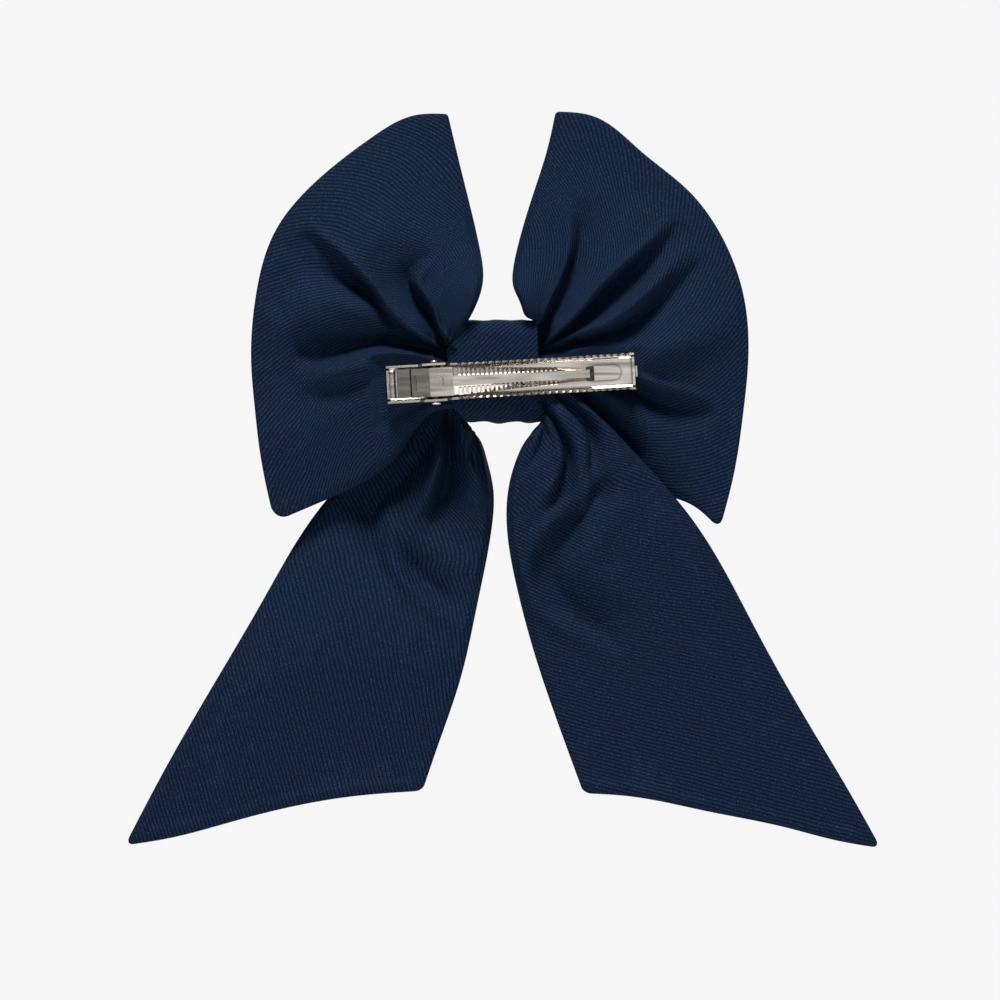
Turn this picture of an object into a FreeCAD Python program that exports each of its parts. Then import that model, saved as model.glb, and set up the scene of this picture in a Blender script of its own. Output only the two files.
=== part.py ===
"""Hair bow in twill cloth on a spring-closed alligator clip, one STEP file per piece, in millimetres.

The bow hangs upright as it is worn. +Z is up, +X is to the right when the clip side faces the viewer, and the
clip side faces -Y. The origin is where the clip's jaws close on the hair, behind the middle of the knot.
"""
import FreeCAD
import Part
import math
import os

# Cloth
CLOTH = 0.45            # thickness of one layer of twill
NO_OFFSET = 1e-6        # the side of a layer that faces the other one
SEAM_GAP = 0.2          # half of the room between two layers at their seam, for the seam's thread
GATHER_ROOM = 0.15      # more of it inside the knot
THREAD = 0.24           # sewing thread
SEAM_FROM = 0.17        # a bag's seam is sewn from this share of its length, clear of the knot
SEAM_STITCHES = 22      # along each edge
HEM_STITCHES = 30       # and along the hem
STITCH_SHARE = 0.85     # of a stitch's pitch that its thread lies on this side of the cloth
SEAM_INSET = 0.05       # share of a bag's width and length that its seam is set in by
STATIONS = 25           # points of a cloth layer from the gather to the hem
ACROSS = 17             # and across it
SURFACE_WITHIN = 0.02   # how near its surface passes to them

# Overall
WING_REACH = 50.0       # from the middle of the knot out to a wing's hem
TAIL_DROP = 95.0        # from the origin down to a tail's tip
WING_KEEPS = 14.0       # nearer the knot than this, a wing's outline doesn't change with its reach
TAIL_KEEPS = 20.0       # nor a tail's with its drop

# Wings, as points of each edge (x, z) from the gather outwards and from the top corner to the bottom corner
GATHER_END = 0.1        # from the middle of the knot to where a wing or tail ends inside it
WING_GATHER = 7.0       # half the height that a wing is drawn up to inside the knot
WING_MID = 7.5          # depth of the wings' middle plane
WING_CROWN = 4.6        # how far each layer of a wing puffs out from that plane
LEFT_WING_TOP = [(-6.9, 8.2), (-7.0, 10.7), (-5.0, 13.4), (-3.4, 18.4), (-5.4, 30.0), (-10.6, 50.6)]
LEFT_WING_BOTTOM = [(-7.0, -7.3), (-13.4, -8.6), (-20.0, -16.0), (-31.2, -23.6), (-42.6, -28.8)]
LEFT_WING_HEM = [(-10.6, 50.6), (-15.4, 51.4), (-25.8, 46.8), (-42.0, 33.0), (-48.6, 16.8), (-50.0, -1.8),
                 (-47.2, -21.0), (-42.6, -28.8)]
RIGHT_WING_TOP = [(6.7, 8.2), (6.8, 10.9), (4.2, 13.6), (2.4, 18.4), (5.0, 30.4), (11.4, 51.4)]
RIGHT_WING_BOTTOM = [(8.6, -7.3), (13.6, -9.0), (20.6, -17.4), (31.2, -24.6), (42.6, -29.8)]
RIGHT_WING_HEM = [(11.4, 51.4), (16.8, 51.8), (28.4, 44.2), (42.2, 31.4), (48.8, 16.8), (50.0, 0.0),
                  (47.4, -19.0), (42.6, -29.8)]

# Tails, likewise, from the gather down to the slanting hem, and along the hem from the inner corner
TAIL_GATHER_TOP = 2.0
TAIL_GATHER_BOTTOM = -6.0
TAIL_CROWN = 1.5        # how far each layer of a tail puffs out below the knot
LEFT_TAIL_INNER = [(-6.6, -7.9), (-7.3, -10.4), (-4.8, -13.4), (-1.2, -24.6), (-4.6, -45.6), (-10.6, -70.4),
                   (-15.0, -83.6)]
LEFT_TAIL_OUTER = [(-7.6, -1.0), (-18.0, -9.6), (-36.2, -26.4), (-47.6, -45.6), (-61.8, -70.4),
                   (-74.8, -95.0)]
LEFT_TAIL_HEM = [(-15.0, -83.6), (-30.4, -85.4), (-53.2, -90.4), (-74.8, -95.0)]
RIGHT_TAIL_INNER = [(8.5, -7.9), (9.0, -10.4), (5.6, -14.4), (1.2, -28.2), (5.2, -51.0), (12.4, -72.8),
                    (16.6, -84.0)]
RIGHT_TAIL_OUTER = [(9.2, -1.0), (17.4, -7.0), (36.4, -25.8), (51.0, -51.0), (66.0, -77.4), (75.6, -95.0)]
RIGHT_TAIL_HEM = [(16.6, -84.0), (33.8, -86.8), (57.2, -91.6), (75.6, -95.0)]
LEFT_TAIL_DEPTHS = (10.2, 14.6, 8.6)    # at the gather, past the wing's lower edge, and at the hem
RIGHT_TAIL_DEPTHS = (4.95, 3.1, 6.6)

# Where the clip's toothed jaw lies, glued to the knot
SHEET = 0.45            # steel of the jaw
FLOOR_Y = 1.0           # inner face of its floor
GLUE = 0.55             # thickness of the glue between it and the knot

# Knot: the winding that holds the gather, and the band folded round it
BAND_CLOTH = 1.2        # the folded strip's thickness
BAND_BACK = FLOOR_Y + SHEET + GLUE      # depth of the band's flat back
BAND_FRONT = 14.2       # depth of the knot's front
BAND_TOP = 10.5
BAND_BOTTOM = -10.3
BAND_LEFT = -6.6
BAND_RIGHT_TOP = 6.3
BAND_RIGHT_BOTTOM = 8.2
BAND_CORNER = 3.0       # outer radius at the flat back
BAND_ROUND = 5.6        # outer radius at the knot's front
WINDING_THREAD = 0.5
WINDING_TURNS = 5
WINDING_PITCH = 0.46
WINDING_BACK = BAND_BACK + BAND_CLOTH + 0.55
WINDING_FRONT = BAND_FRONT - BAND_CLOTH - 1.3
WINDING_HALF_HEIGHT = WING_GATHER + 0.9
WINDING_CORNER = 1.9
STITCHES = 4            # that close the band's lapped end, under the clip
STITCH_PITCH = 2.4
STITCH_LENGTH = 2.0
GLUE_LENGTH = 11.0
GLUE_WIDTH = 4.6

# Alligator clip, in its own frame: x from the pin towards the tip, y as the bow's, z across
CLIP_TILT = 3.3         # degrees that the tip stands higher than the lever
PIN_X = -13.0
PIN_Z = -2.3
PIN_R = 0.7
PIN_Y = -0.75
PIN_HOLE_CLEARANCE = 0.03
HINGE_CLEARANCE = 0.06
PIN_HEAD_R = 1.05
PIN_HEAD = 0.65
PIN_HEAD_GAP = 0.05
BASE_FLOOR = 6.3        # outer width of its floor
BASE_TIP = 40.0         # from the pin to its closed end
BASE_TAIL = 9.6         # and to the end of its lever
RIM_Y = -1.2            # the toothed walls' rim
FLARE = 11.0            # degrees that the walls lean out
EAR_TOP_Y = -2.1
EAR_HALF_LENGTH = 2.3
EAR_SLOPE = 0.9
TAIL_RIM_Y = -1.7
END_RIM_Y = -0.7        # the end wall at the tip
BEND_R = 0.75           # outer radius where the sheet is bent up
TEETH_FROM = 4.6
TOOTH_PITCH = 1.38
TOOTH_DEPTH = 0.75
TIP_LIP = 0.55
LIP_WIDTH = 2.2

# Ribbed prong
JAW_GAP = 0.15          # left between the closed prong and the floor
PRONG_SHEET = 0.4
PRONG_TOP_Y = -2.85     # outer face near the pin
PRONG_END_Y = -0.55     # and where the ribbed part ends
PRONG_SIDE_CLEARANCE = 0.33     # between the prong's rear end and the toothed walls
PRONG_END_HALF = 1.25
PRONG_CROWN_HALF = 1.0
PRONG_CROWN_END_HALF = 0.75
FLANK_REAR_Y = -1.05
FLANK_END_Y = 0.55
PRONG_FROM = 3.6
PRONG_TO = 31.0
TONGUE_TO = 37.2
TONGUE_HALF = 1.45
RIB_FROM = 4.8
RIB_TO = 25.5
RIB_PITCH = 0.91
RIB_WIDTH = 0.45
RIB_HEIGHT = 0.2
EAR_CLEARANCE = 0.085   # between the prong's ears and the walls
EAR_R = 1.5
LEVER_STEP_X = -4.6     # the plate steps up here
LEVER_STEP = 0.5
LEVER_END_X = -7.6
LEVER_END_Y = -4.9
LEVER_FLANGE = 0.9
OPEN_ANGLE = 28.0       # degrees that the prong opens
SLOT_HALF = 1.5         # of the slot behind the lever's step
SLOT_WIDTH = 0.55
LOCATING_NICK = 1.4

# Leaf spring
SPRING_STRIP = 0.35
SPRING_WIDTH = 3.4
SPRING_BEND_R = 1.45    # outer radius round the pin
SPRING_LEG = 6.0
SPRING_CLEARANCE = 0.08


def vec(x, y, z):
    return FreeCAD.Vector(x, y, z)


def polygon(points):
    """A face with straight sides."""
    return Part.Face(Part.makePolygon(points + points[:1]))


def plate(outline, low, high):
    """A plate across the clip: an outline in (x, y) between two values of z."""
    face = polygon([vec(x, y, low) for x, y in outline])
    return face.extrude(vec(0, 0, high - low))


def smooth(points):
    """A curve in the bow's plane through a list of (x, z), as a function of 0 to 1."""
    curve = Part.BSplineCurve()
    curve.interpolate([vec(x, 0, z) for x, z in points])
    low, high = curve.FirstParameter, curve.LastParameter
    return lambda u: curve.value(low + u * (high - low))


class Panel:
    """A cloth bag sewn from two layers and gathered at one end, with its depth as two functions."""

    def __init__(self, gather, near, far, hem, middle, half):
        self.gather = smooth(gather)
        self.near = smooth(gather[:1] + near)
        self.far = smooth(gather[-1:] + far)
        self.hem = smooth(hem)
        self.middle = middle
        self.half = half

    def place(self, s, t):
        """The point in the bow's plane at s from gather to hem and t from the near edge to the far one."""
        sides = self.near(s) * (1 - t) + self.far(s) * t
        ends = self.gather(t) * (1 - s) + self.hem(t) * s
        at_gather = self.near(0) * (1 - t) + self.far(0) * t
        at_hem = self.near(1) * (1 - t) + self.far(1) * t
        corners = at_gather * (1 - s) + at_hem * s
        return sides + ends - corners

    def point(self, s, t, off):
        """A point on the middle surface, or that far outside the room between the layers if off isn't 0."""
        at = self.place(s, t)
        side = (off > 0) - (off < 0)
        room = self.half(s, t) + seam_room(s)
        return vec(at.x, self.middle(s, t) + side * room + off, at.z)

    def surface(self, off):
        """A smooth surface through a grid of one layer's points."""
        grid = [[self.point(i / (STATIONS - 1), j / (ACROSS - 1), off) for j in range(ACROSS)]
                for i in range(STATIONS)]
        surface = Part.BSplineSurface()
        surface.approximate(Points=grid, DegMin=3, DegMax=5, Tolerance=SURFACE_WITHIN, Continuity=2)
        return surface

    def layer(self, side):
        """One layer of cloth: side is -1 for the back and 1 for the front."""
        inner, outer = self.surface(side * NO_OFFSET), self.surface(side * CLOTH)
        u0, u1, v0, v1 = inner.bounds()
        faces = [inner.toShape(), outer.toShape()]
        for low, high in ((inner.uIso(u0), outer.uIso(u0)), (inner.uIso(u1), outer.uIso(u1)),
                          (inner.vIso(v0), outer.vIso(v0)), (inner.vIso(v1), outer.vIso(v1))):
            faces.append(Part.makeRuledSurface(low.toShape(), high.toShape()))
        shell = Part.makeShell(faces)
        shell.sewShape()
        solid = Part.Solid(shell)
        if solid.Volume < 0:
            solid.reverse()
        return solid

    def thread(self):
        """The seam's thread between the layers, stitch by stitch along both edges and the hem."""
        far_end = 1 - SEAM_INSET
        along = [SEAM_FROM + i / SEAM_STITCHES * (far_end - SEAM_FROM) for i in range(SEAM_STITCHES + 1)]
        across = [SEAM_INSET + i / HEM_STITCHES * (1 - 2 * SEAM_INSET) for i in range(HEM_STITCHES + 1)]
        stitches = []
        runs = ([(s, SEAM_INSET) for s in along], [(far_end, t) for t in across],
                [(s, far_end) for s in along])
        for run in runs:
            holes = [self.point(s, t, 0) for s, t in run]
            stitches += [stitch(a, b) for a, b in zip(holes, holes[1:])]
        return Part.makeCompound(stitches)


def stitch(start, end):
    """One straight stitch of thread between two needle holes."""
    run = (end - start) * STITCH_SHARE
    return Part.makeCylinder(THREAD / 2, run.Length, start, run)


def seam_room(s):
    """Half of the room between two layers where they are flat, which is larger inside the knot."""
    return SEAM_GAP + GATHER_ROOM * (1 - min(1.0, max(0.0, s - 0.1) / 0.15))


def rise(s, start):
    """From 0 before start to a crown nearer the gather than the hem, and back to 0 at the hem."""
    along = max(0.0, (s - start) / (1 - start))
    return math.sin(math.pi * along ** 0.65) ** 2


def drawn_out(points, axis, keeps, drawn, size):
    """An outline's points, with those beyond a kept part drawn out from the drawn size to another."""
    changed = []
    for point in points:
        point = list(point)
        far = abs(point[axis])
        if far > keeps:
            point[axis] *= (keeps + (far - keeps) * (size - keeps) / (drawn - keeps)) / far
        changed.append(tuple(point))
    return changed


def wing(gather_side, top, bottom, hem, lean):
    """A wing. Its lower edge leans by this much towards the front, or the back if it is negative."""
    drawn = max(abs(x) for x, _ in hem)
    top, bottom, hem = (drawn_out(points, 0, WING_KEEPS, drawn, WING_REACH) for points in (top, bottom, hem))
    gather = [(gather_side * GATHER_END, z * WING_GATHER) for z in (1, 0, -1)]

    def middle(s, t):
        return WING_MID + lean * t * t * math.sin(math.pi * min(1.0, s))

    def half(s, t):
        return WING_CROWN * rise(s, 0.12) * math.sin(math.pi * t) ** 0.7

    return Panel(gather, top, bottom, hem, middle, half)


def tail(gather_side, inner, outer, hem, depths):
    """A tail, whose depth passes through three values from the gather to the hem."""
    drawn = max(abs(z) for _, z in hem)
    inner, outer, hem = (drawn_out(points, 1, TAIL_KEEPS, drawn, TAIL_DROP) for points in (inner, outer, hem))
    middle_height = (TAIL_GATHER_TOP + TAIL_GATHER_BOTTOM) / 2
    heights = (TAIL_GATHER_BOTTOM, middle_height, TAIL_GATHER_TOP)
    gather = [(gather_side * GATHER_END, z) for z in heights]
    start, past, end = depths

    def middle(s, t):
        away = min(1.0, max(0.0, s - 0.05) / 0.11)
        back = min(1.0, max(0.0, s - 0.22) / 0.5)
        away = away * away * (3 - 2 * away)
        back = back * back * (3 - 2 * back)
        return start + (past - start) * away + (end - past) * back

    def half(s, t):
        return TAIL_CROWN * rise(s, 0.12) * math.sin(math.pi * t) ** 0.8

    return Panel(gather, inner, outer, hem, middle, half)


def rounded_ring(x, back, front, top, bottom, back_r, front_r):
    """A closed outline round the gather, square to X."""
    corners = [
        (back, bottom, back_r, (1, 0), (0, 1)),
        (back, top, back_r, (0, -1), (1, 0)),
        (front, top, front_r, (-1, 0), (0, -1)),
        (front, bottom, front_r, (0, 1), (-1, 0)),
    ]
    edges, ends = [], []
    for y, z, r, towards_first, towards_second in corners:
        first = vec(x, y + towards_first[0] * r, z + towards_first[1] * r)
        second = vec(x, y + towards_second[0] * r, z + towards_second[1] * r)
        centre = vec(x, y, z) + (first - vec(x, y, z)) + (second - vec(x, y, z))
        middle = centre + (vec(x, y, z) - centre).normalize() * r
        edges.append(Part.Arc(first, middle, second).toShape())
        ends.append((first, second))
    for (_, here), (there, _) in zip(ends, ends[1:] + ends[:1]):
        edges.append(Part.LineSegment(here, there).toShape())
    return Part.Wire(Part.__sortEdges__(edges))


def knot_band():
    """The folded strip that wraps the gather, trimmed to the slant of its right edge."""
    low, high = BAND_LEFT, max(BAND_RIGHT_TOP, BAND_RIGHT_BOTTOM)
    outer = rounded_ring(low, BAND_BACK, BAND_FRONT, BAND_TOP, BAND_BOTTOM, BAND_CORNER, BAND_ROUND)
    inner = rounded_ring(low, BAND_BACK + BAND_CLOTH, BAND_FRONT - BAND_CLOTH, BAND_TOP - BAND_CLOTH,
                         BAND_BOTTOM + BAND_CLOTH, BAND_CORNER - BAND_CLOTH, BAND_ROUND - BAND_CLOTH)
    along = vec(high - low, 0, 0)
    tube = Part.Face(outer).extrude(along).cut(Part.Face(inner).extrude(along))
    edge = BAND_ROUND
    left = [(low, BAND_BOTTOM - edge), (low, BAND_TOP + edge)]
    right = [(BAND_RIGHT_TOP, BAND_TOP + edge), (BAND_RIGHT_TOP, BAND_TOP),
             (BAND_RIGHT_BOTTOM, BAND_BOTTOM), (BAND_RIGHT_BOTTOM, BAND_BOTTOM - edge)]
    trim = polygon([vec(x, BAND_BACK - edge, z) for x, z in left + right])
    return tube.common(trim.extrude(vec(0, BAND_FRONT - BAND_BACK + 2 * edge, 0)))


def gathering_thread():
    """The thread wound round the gathered cloth inside the knot."""
    r = WINDING_THREAD / 2
    turns = []
    for i in range(WINDING_TURNS):
        x = (i - (WINDING_TURNS - 1) / 2) * WINDING_PITCH
        path = rounded_ring(x, WINDING_BACK, WINDING_FRONT, WINDING_HALF_HEIGHT, -WINDING_HALF_HEIGHT,
                            WINDING_CORNER, WINDING_CORNER)
        start = vec(x, WINDING_BACK, 0)
        section = Part.Wire(Part.Circle(start, vec(0, 0, 1), r).toShape())
        turns.append(path.makePipeShell([section], True, True))
    return turns[0].multiFuse(turns[1:])


def band_stitches():
    """Short stitches laid over the band's lapped end, in the middle of its back."""
    stitches = []
    for i in range(STITCHES):
        x = (i - (STITCHES - 1) / 2) * STITCH_PITCH
        low = vec(x, BAND_BACK, -STITCH_LENGTH / 2)
        stitches.append(stitch(low, low + vec(STITCH_LENGTH / 4, 0, STITCH_LENGTH)))
    return Part.makeCompound(stitches)


def glue_pad():
    """The dab of glue that fills the room between the clip's floor and the band, rounded at its corners."""
    top = FLOOR_Y + SHEET
    pad = Part.makeBox(GLUE_LENGTH, GLUE, GLUE_WIDTH, vec(-PIN_X - GLUE_LENGTH / 2, top, -GLUE_WIDTH / 2))
    upright = [e for e in pad.Edges if abs(e.tangentAt(e.FirstParameter).y) > 0.9]
    return pad.makeFillet(GLUE_WIDTH * 0.4, upright)


def on_bow(shape):
    """Moves a piece from the clip's frame to the bow's."""
    turned = shape.copy()
    turned.rotate(vec(0, 0, 0), vec(0, 1, 0), -CLIP_TILT)
    turned.translate(vec(PIN_X, 0, PIN_Z))
    return turned


def wall_at(y):
    """Half the outer width of the toothed jaw at a depth."""
    return BASE_FLOOR / 2 + (FLOOR_Y + SHEET - y) * math.tan(math.radians(FLARE))


def prong_rear_half():
    """Half the width of the prong's rear end and its lever, which fit between the toothed walls."""
    return wall_at(FLANK_REAR_Y) - SHEET - PRONG_SIDE_CLEARANCE


def ear_half():
    """Half the width over the prong's ears."""
    return wall_at(PIN_Y + EAR_R) - SHEET - EAR_CLEARANCE


def bend(solid, y, z, radius):
    """Rounds the edges along the clip at a depth, the same distance either side of its middle."""
    edges = []
    for e in solid.Edges:
        at = e.CenterOfMass
        if abs(e.tangentAt(e.FirstParameter).x) > 0.999 and abs(at.y - y) < 0.01 and abs(abs(at.z) - z) < 0.01:
            edges.append(e)
    return solid.makeFillet(radius, edges)


def channel(start, end, rim):
    """The toothed jaw's floor and leaning walls between two places along it."""
    below = FLOOR_Y + SHEET
    outline = [(below, -wall_at(below)), (rim, -wall_at(rim)), (rim, SHEET - wall_at(rim)),
               (FLOOR_Y, SHEET - wall_at(FLOOR_Y)), (FLOOR_Y, wall_at(FLOOR_Y) - SHEET),
               (rim, wall_at(rim) - SHEET), (rim, wall_at(rim)), (below, wall_at(below))]
    face = polygon([vec(start, y, z) for y, z in outline])
    solid = face.extrude(vec(end - start, 0, 0))
    solid = bend(solid, below, wall_at(below), BEND_R)
    return bend(solid, FLOOR_Y, wall_at(FLOOR_Y) - SHEET, BEND_R - SHEET)


def above(outline):
    """What lies on the viewer's side of an outline (x, y) that runs along the rims, to be cut away."""
    far = PRONG_TOP_Y - BASE_FLOOR
    closed = outline + [(outline[-1][0], far), (outline[0][0], far)]
    return plate(closed, -BASE_FLOOR, BASE_FLOOR)


def toothed_base():
    """The jaw that is fixed to the bow: a channel with toothed rims, ears for the pin, and a walled lever."""
    solid = channel(-BASE_TAIL, BASE_TIP, EAR_TOP_Y)
    rims = [(-BASE_TAIL - SHEET, TAIL_RIM_Y), (-EAR_HALF_LENGTH - EAR_SLOPE, TAIL_RIM_Y),
            (-EAR_HALF_LENGTH, EAR_TOP_Y - 0.01), (EAR_HALF_LENGTH, EAR_TOP_Y - 0.01),
            (EAR_HALF_LENGTH + EAR_SLOPE, RIM_Y)]
    count = int((BASE_TIP - SHEET - TEETH_FROM) / TOOTH_PITCH)
    for i in range(count):
        x = TEETH_FROM + i * TOOTH_PITCH
        rims += [(x, RIM_Y), (x + TOOTH_PITCH / 2, RIM_Y + TOOTH_DEPTH)]
    rims += [(TEETH_FROM + count * TOOTH_PITCH, RIM_Y), (BASE_TIP + SHEET, RIM_Y)]
    solid = solid.cut(above(rims))
    inside = wall_at(FLOOR_Y) - BEND_R / 2
    ends = [plate([(-BASE_TAIL, FLOOR_Y), (SHEET - BASE_TAIL, FLOOR_Y), (SHEET - BASE_TAIL, TAIL_RIM_Y),
                   (-BASE_TAIL, TAIL_RIM_Y)], -inside, inside),
            plate([(BASE_TIP - SHEET, FLOOR_Y), (BASE_TIP, FLOOR_Y), (BASE_TIP, END_RIM_Y),
                   (BASE_TIP - SHEET, END_RIM_Y)], -inside, inside)]
    lip = plate([(BASE_TIP - SHEET, FLOOR_Y + SHEET), (BASE_TIP + TIP_LIP, FLOOR_Y + SHEET),
                 (BASE_TIP + TIP_LIP, FLOOR_Y), (BASE_TIP - SHEET, FLOOR_Y)], -LIP_WIDTH / 2, LIP_WIDTH / 2)
    solid = solid.multiFuse(ends + [lip]).removeSplitter()
    reach = wall_at(EAR_TOP_Y) + SHEET
    hole = Part.makeCylinder(PIN_R + PIN_HOLE_CLEARANCE, 2 * reach, vec(0, PIN_Y, -reach))
    return solid.cut(hole)


def hinge_pin():
    """The pin, with a round head formed on each end."""
    head_at = wall_at(PIN_Y - PIN_HEAD_R) + PIN_HEAD_GAP
    solid = Part.makeCylinder(PIN_R, 2 * head_at, vec(0, PIN_Y, -head_at))
    for side in (-1, 1):
        start = vec(0, PIN_Y, side * head_at)
        head = Part.makeCylinder(PIN_HEAD_R, PIN_HEAD, start, vec(0, 0, side))
        rim = [e for e in head.Edges if abs(e.CenterOfMass.z - side * (head_at + PIN_HEAD)) < 0.01]
        solid = solid.fuse(head.makeFillet(PIN_HEAD * 0.6, rim))
    return solid


def prong_section(x, top, crown, half, foot):
    """A section of the ribbed prong: a flat crown and two leaning flanks, open towards the other jaw."""
    lean = PRONG_SHEET * 1.25
    under = top + PRONG_SHEET
    outline = [(top, -crown), (top, crown), (foot, half), (foot, half - lean), (under, crown - lean / 3),
               (under, lean / 3 - crown), (foot, lean - half), (foot, -half)]
    return Part.makePolygon([vec(x, y, z) for y, z in outline + outline[:1]])


def along_prong(x):
    """The crown's depth, the crown's and the feet's half widths, and the feet's depth, at a place along it."""
    share = (x - PRONG_FROM) / (PRONG_TO - PRONG_FROM)

    def between(start, end):
        return start + (end - start) * share

    return (between(PRONG_TOP_Y, PRONG_END_Y), between(PRONG_CROWN_HALF, PRONG_CROWN_END_HALF),
            between(prong_rear_half(), PRONG_END_HALF), between(FLANK_REAR_Y, FLANK_END_Y))


def rib(x, side):
    """One of the raised ribs across a flank."""
    top, crown, half, foot = along_prong(x + RIB_WIDTH / 2)
    a, b = vec(x, top, side * crown), vec(x, foot, side * half)
    out = vec(0, -(b - a).z * side, (b - a).y * side).normalize() * RIB_HEIGHT
    sunk = out * -0.6
    down = b - a
    corners = [a + sunk + down * 0.08, a + out + down * 0.16, b + out - down * 0.12, b + sunk - down * 0.06]
    return polygon(corners).extrude(vec(RIB_WIDTH, 0, 0))


def ribbed_prong():
    """The moving jaw: a ribbed, tapered trough ending in a flat tongue, with its pin ears and its lever."""
    ends = [prong_section(x, top, crown, half, foot) for x in (PRONG_FROM, PRONG_TO)
            for top, crown, half, foot in [along_prong(x)]]
    trough = Part.makeLoft(ends, True, True)
    pieces = [rib(RIB_FROM + i * RIB_PITCH, side) for i in range(int((RIB_TO - RIB_FROM) / RIB_PITCH))
              for side in (-1, 1)]
    foot = FLOOR_Y - JAW_GAP
    tip_x = TONGUE_TO - TONGUE_HALF
    step = [(PRONG_TO - 0.6, PRONG_END_Y), (PRONG_TO + 0.9, foot - PRONG_SHEET), (tip_x, foot - PRONG_SHEET),
            (tip_x, foot), (PRONG_TO + 0.7, foot), (PRONG_TO - 0.6, PRONG_END_Y + PRONG_SHEET * 1.6)]
    pieces.append(plate(step, -TONGUE_HALF, TONGUE_HALF))
    tip = vec(tip_x, foot - PRONG_SHEET, 0)
    pieces.append(Part.makeCylinder(TONGUE_HALF, PRONG_SHEET, tip, vec(0, 1, 0)))
    top = PRONG_TOP_Y
    under = top + PRONG_SHEET
    slope = (LEVER_END_Y + LEVER_STEP - top) / (LEVER_END_X + 1.0)
    step_y = top + slope * (LEVER_STEP_X + 1.0)
    upper = [(PRONG_FROM + 0.05, top), (-1.0, top), (LEVER_STEP_X, step_y),
             (LEVER_STEP_X - 0.35, step_y - LEVER_STEP), (LEVER_END_X, LEVER_END_Y)]
    lower = [(x, y + PRONG_SHEET) for x, y in reversed(upper)]
    half = prong_rear_half()
    body = plate(upper + lower, -half, half)
    curl = Part.makeCylinder(0.55, 2 * half, vec(LEVER_END_X, LEVER_END_Y + 0.55, -half))
    hollow = Part.makeCylinder(0.55 - PRONG_SHEET * 0.6, 2 * half, vec(LEVER_END_X, LEVER_END_Y + 0.55, -half))
    flange = [(PRONG_FROM + 0.05, top + 0.02), (PRONG_FROM + 0.05, FLANK_REAR_Y), (EAR_R, FLANK_REAR_Y),
              (EAR_R, PIN_Y), (-EAR_R, PIN_Y), (-EAR_R, under + LEVER_FLANGE),
              (LEVER_END_X, LEVER_END_Y + PRONG_SHEET + LEVER_FLANGE * 0.6), (LEVER_END_X, LEVER_END_Y + 0.1),
              (LEVER_STEP_X, step_y + 0.02), (-1.0, top + 0.02)]
    pieces += [body, curl]
    for side in (-1, 1):
        low = side * ear_half() - (PRONG_SHEET if side > 0 else 0)
        pieces.append(plate(flange, low, low + PRONG_SHEET))
        pieces.append(Part.makeCylinder(EAR_R, PRONG_SHEET, vec(0, PIN_Y, low)))
    solid = trough.multiFuse(pieces).removeSplitter()
    reach = 2 * ear_half()
    holes = [Part.makeCylinder(PIN_R + HINGE_CLEARANCE, 2 * reach, vec(0, PIN_Y, -reach)), hollow]
    slot_x = LEVER_STEP_X + 0.45
    holes.append(Part.makeBox(SLOT_WIDTH, 4 * PRONG_SHEET, 2 * SLOT_HALF,
                              vec(slot_x, step_y - 1.5 * PRONG_SHEET, -SLOT_HALF)))
    holes.append(Part.makeBox(0.35, 2 * PRONG_SHEET, LOCATING_NICK,
                              vec(EAR_R, top - PRONG_SHEET / 2, -LOCATING_NICK / 2)))
    return solid.cut(holes[0].multiFuse(holes[1:]))


def leaf_spring():
    """A strip bent round the pin, one leg on the floor and the other under the lever."""
    low_y = FLOOR_Y - SPRING_CLEARANCE
    r, t = SPRING_BEND_R, SPRING_STRIP
    centre = vec(0, low_y - r, 0)
    high_y = low_y - 2 * r
    rise_to = high_y - 0.9
    start, end = vec(-SPRING_LEG, low_y, 0), vec(-SPRING_LEG, rise_to, 0)
    outer = [Part.LineSegment(start, vec(0, low_y, 0)).toShape(),
             Part.Arc(vec(0, low_y, 0), centre + vec(r, 0, 0), vec(0, high_y, 0)).toShape(),
             Part.LineSegment(vec(0, high_y, 0), end).toShape()]
    inner = [Part.LineSegment(start - vec(0, t, 0), vec(0, low_y - t, 0)).toShape(),
             Part.Arc(vec(0, low_y - t, 0), centre + vec(r - t, 0, 0), vec(0, high_y + t, 0)).toShape(),
             Part.LineSegment(vec(0, high_y + t, 0), end + vec(0, t, 0)).toShape()]
    caps = [Part.LineSegment(start, start - vec(0, t, 0)).toShape(),
            Part.LineSegment(end, end + vec(0, t, 0)).toShape()]
    face = Part.Face(Part.Wire(Part.__sortEdges__(outer + inner + caps)))
    return face.extrude(vec(0, 0, SPRING_WIDTH)).translated(vec(0, 0, -SPRING_WIDTH / 2))


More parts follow.
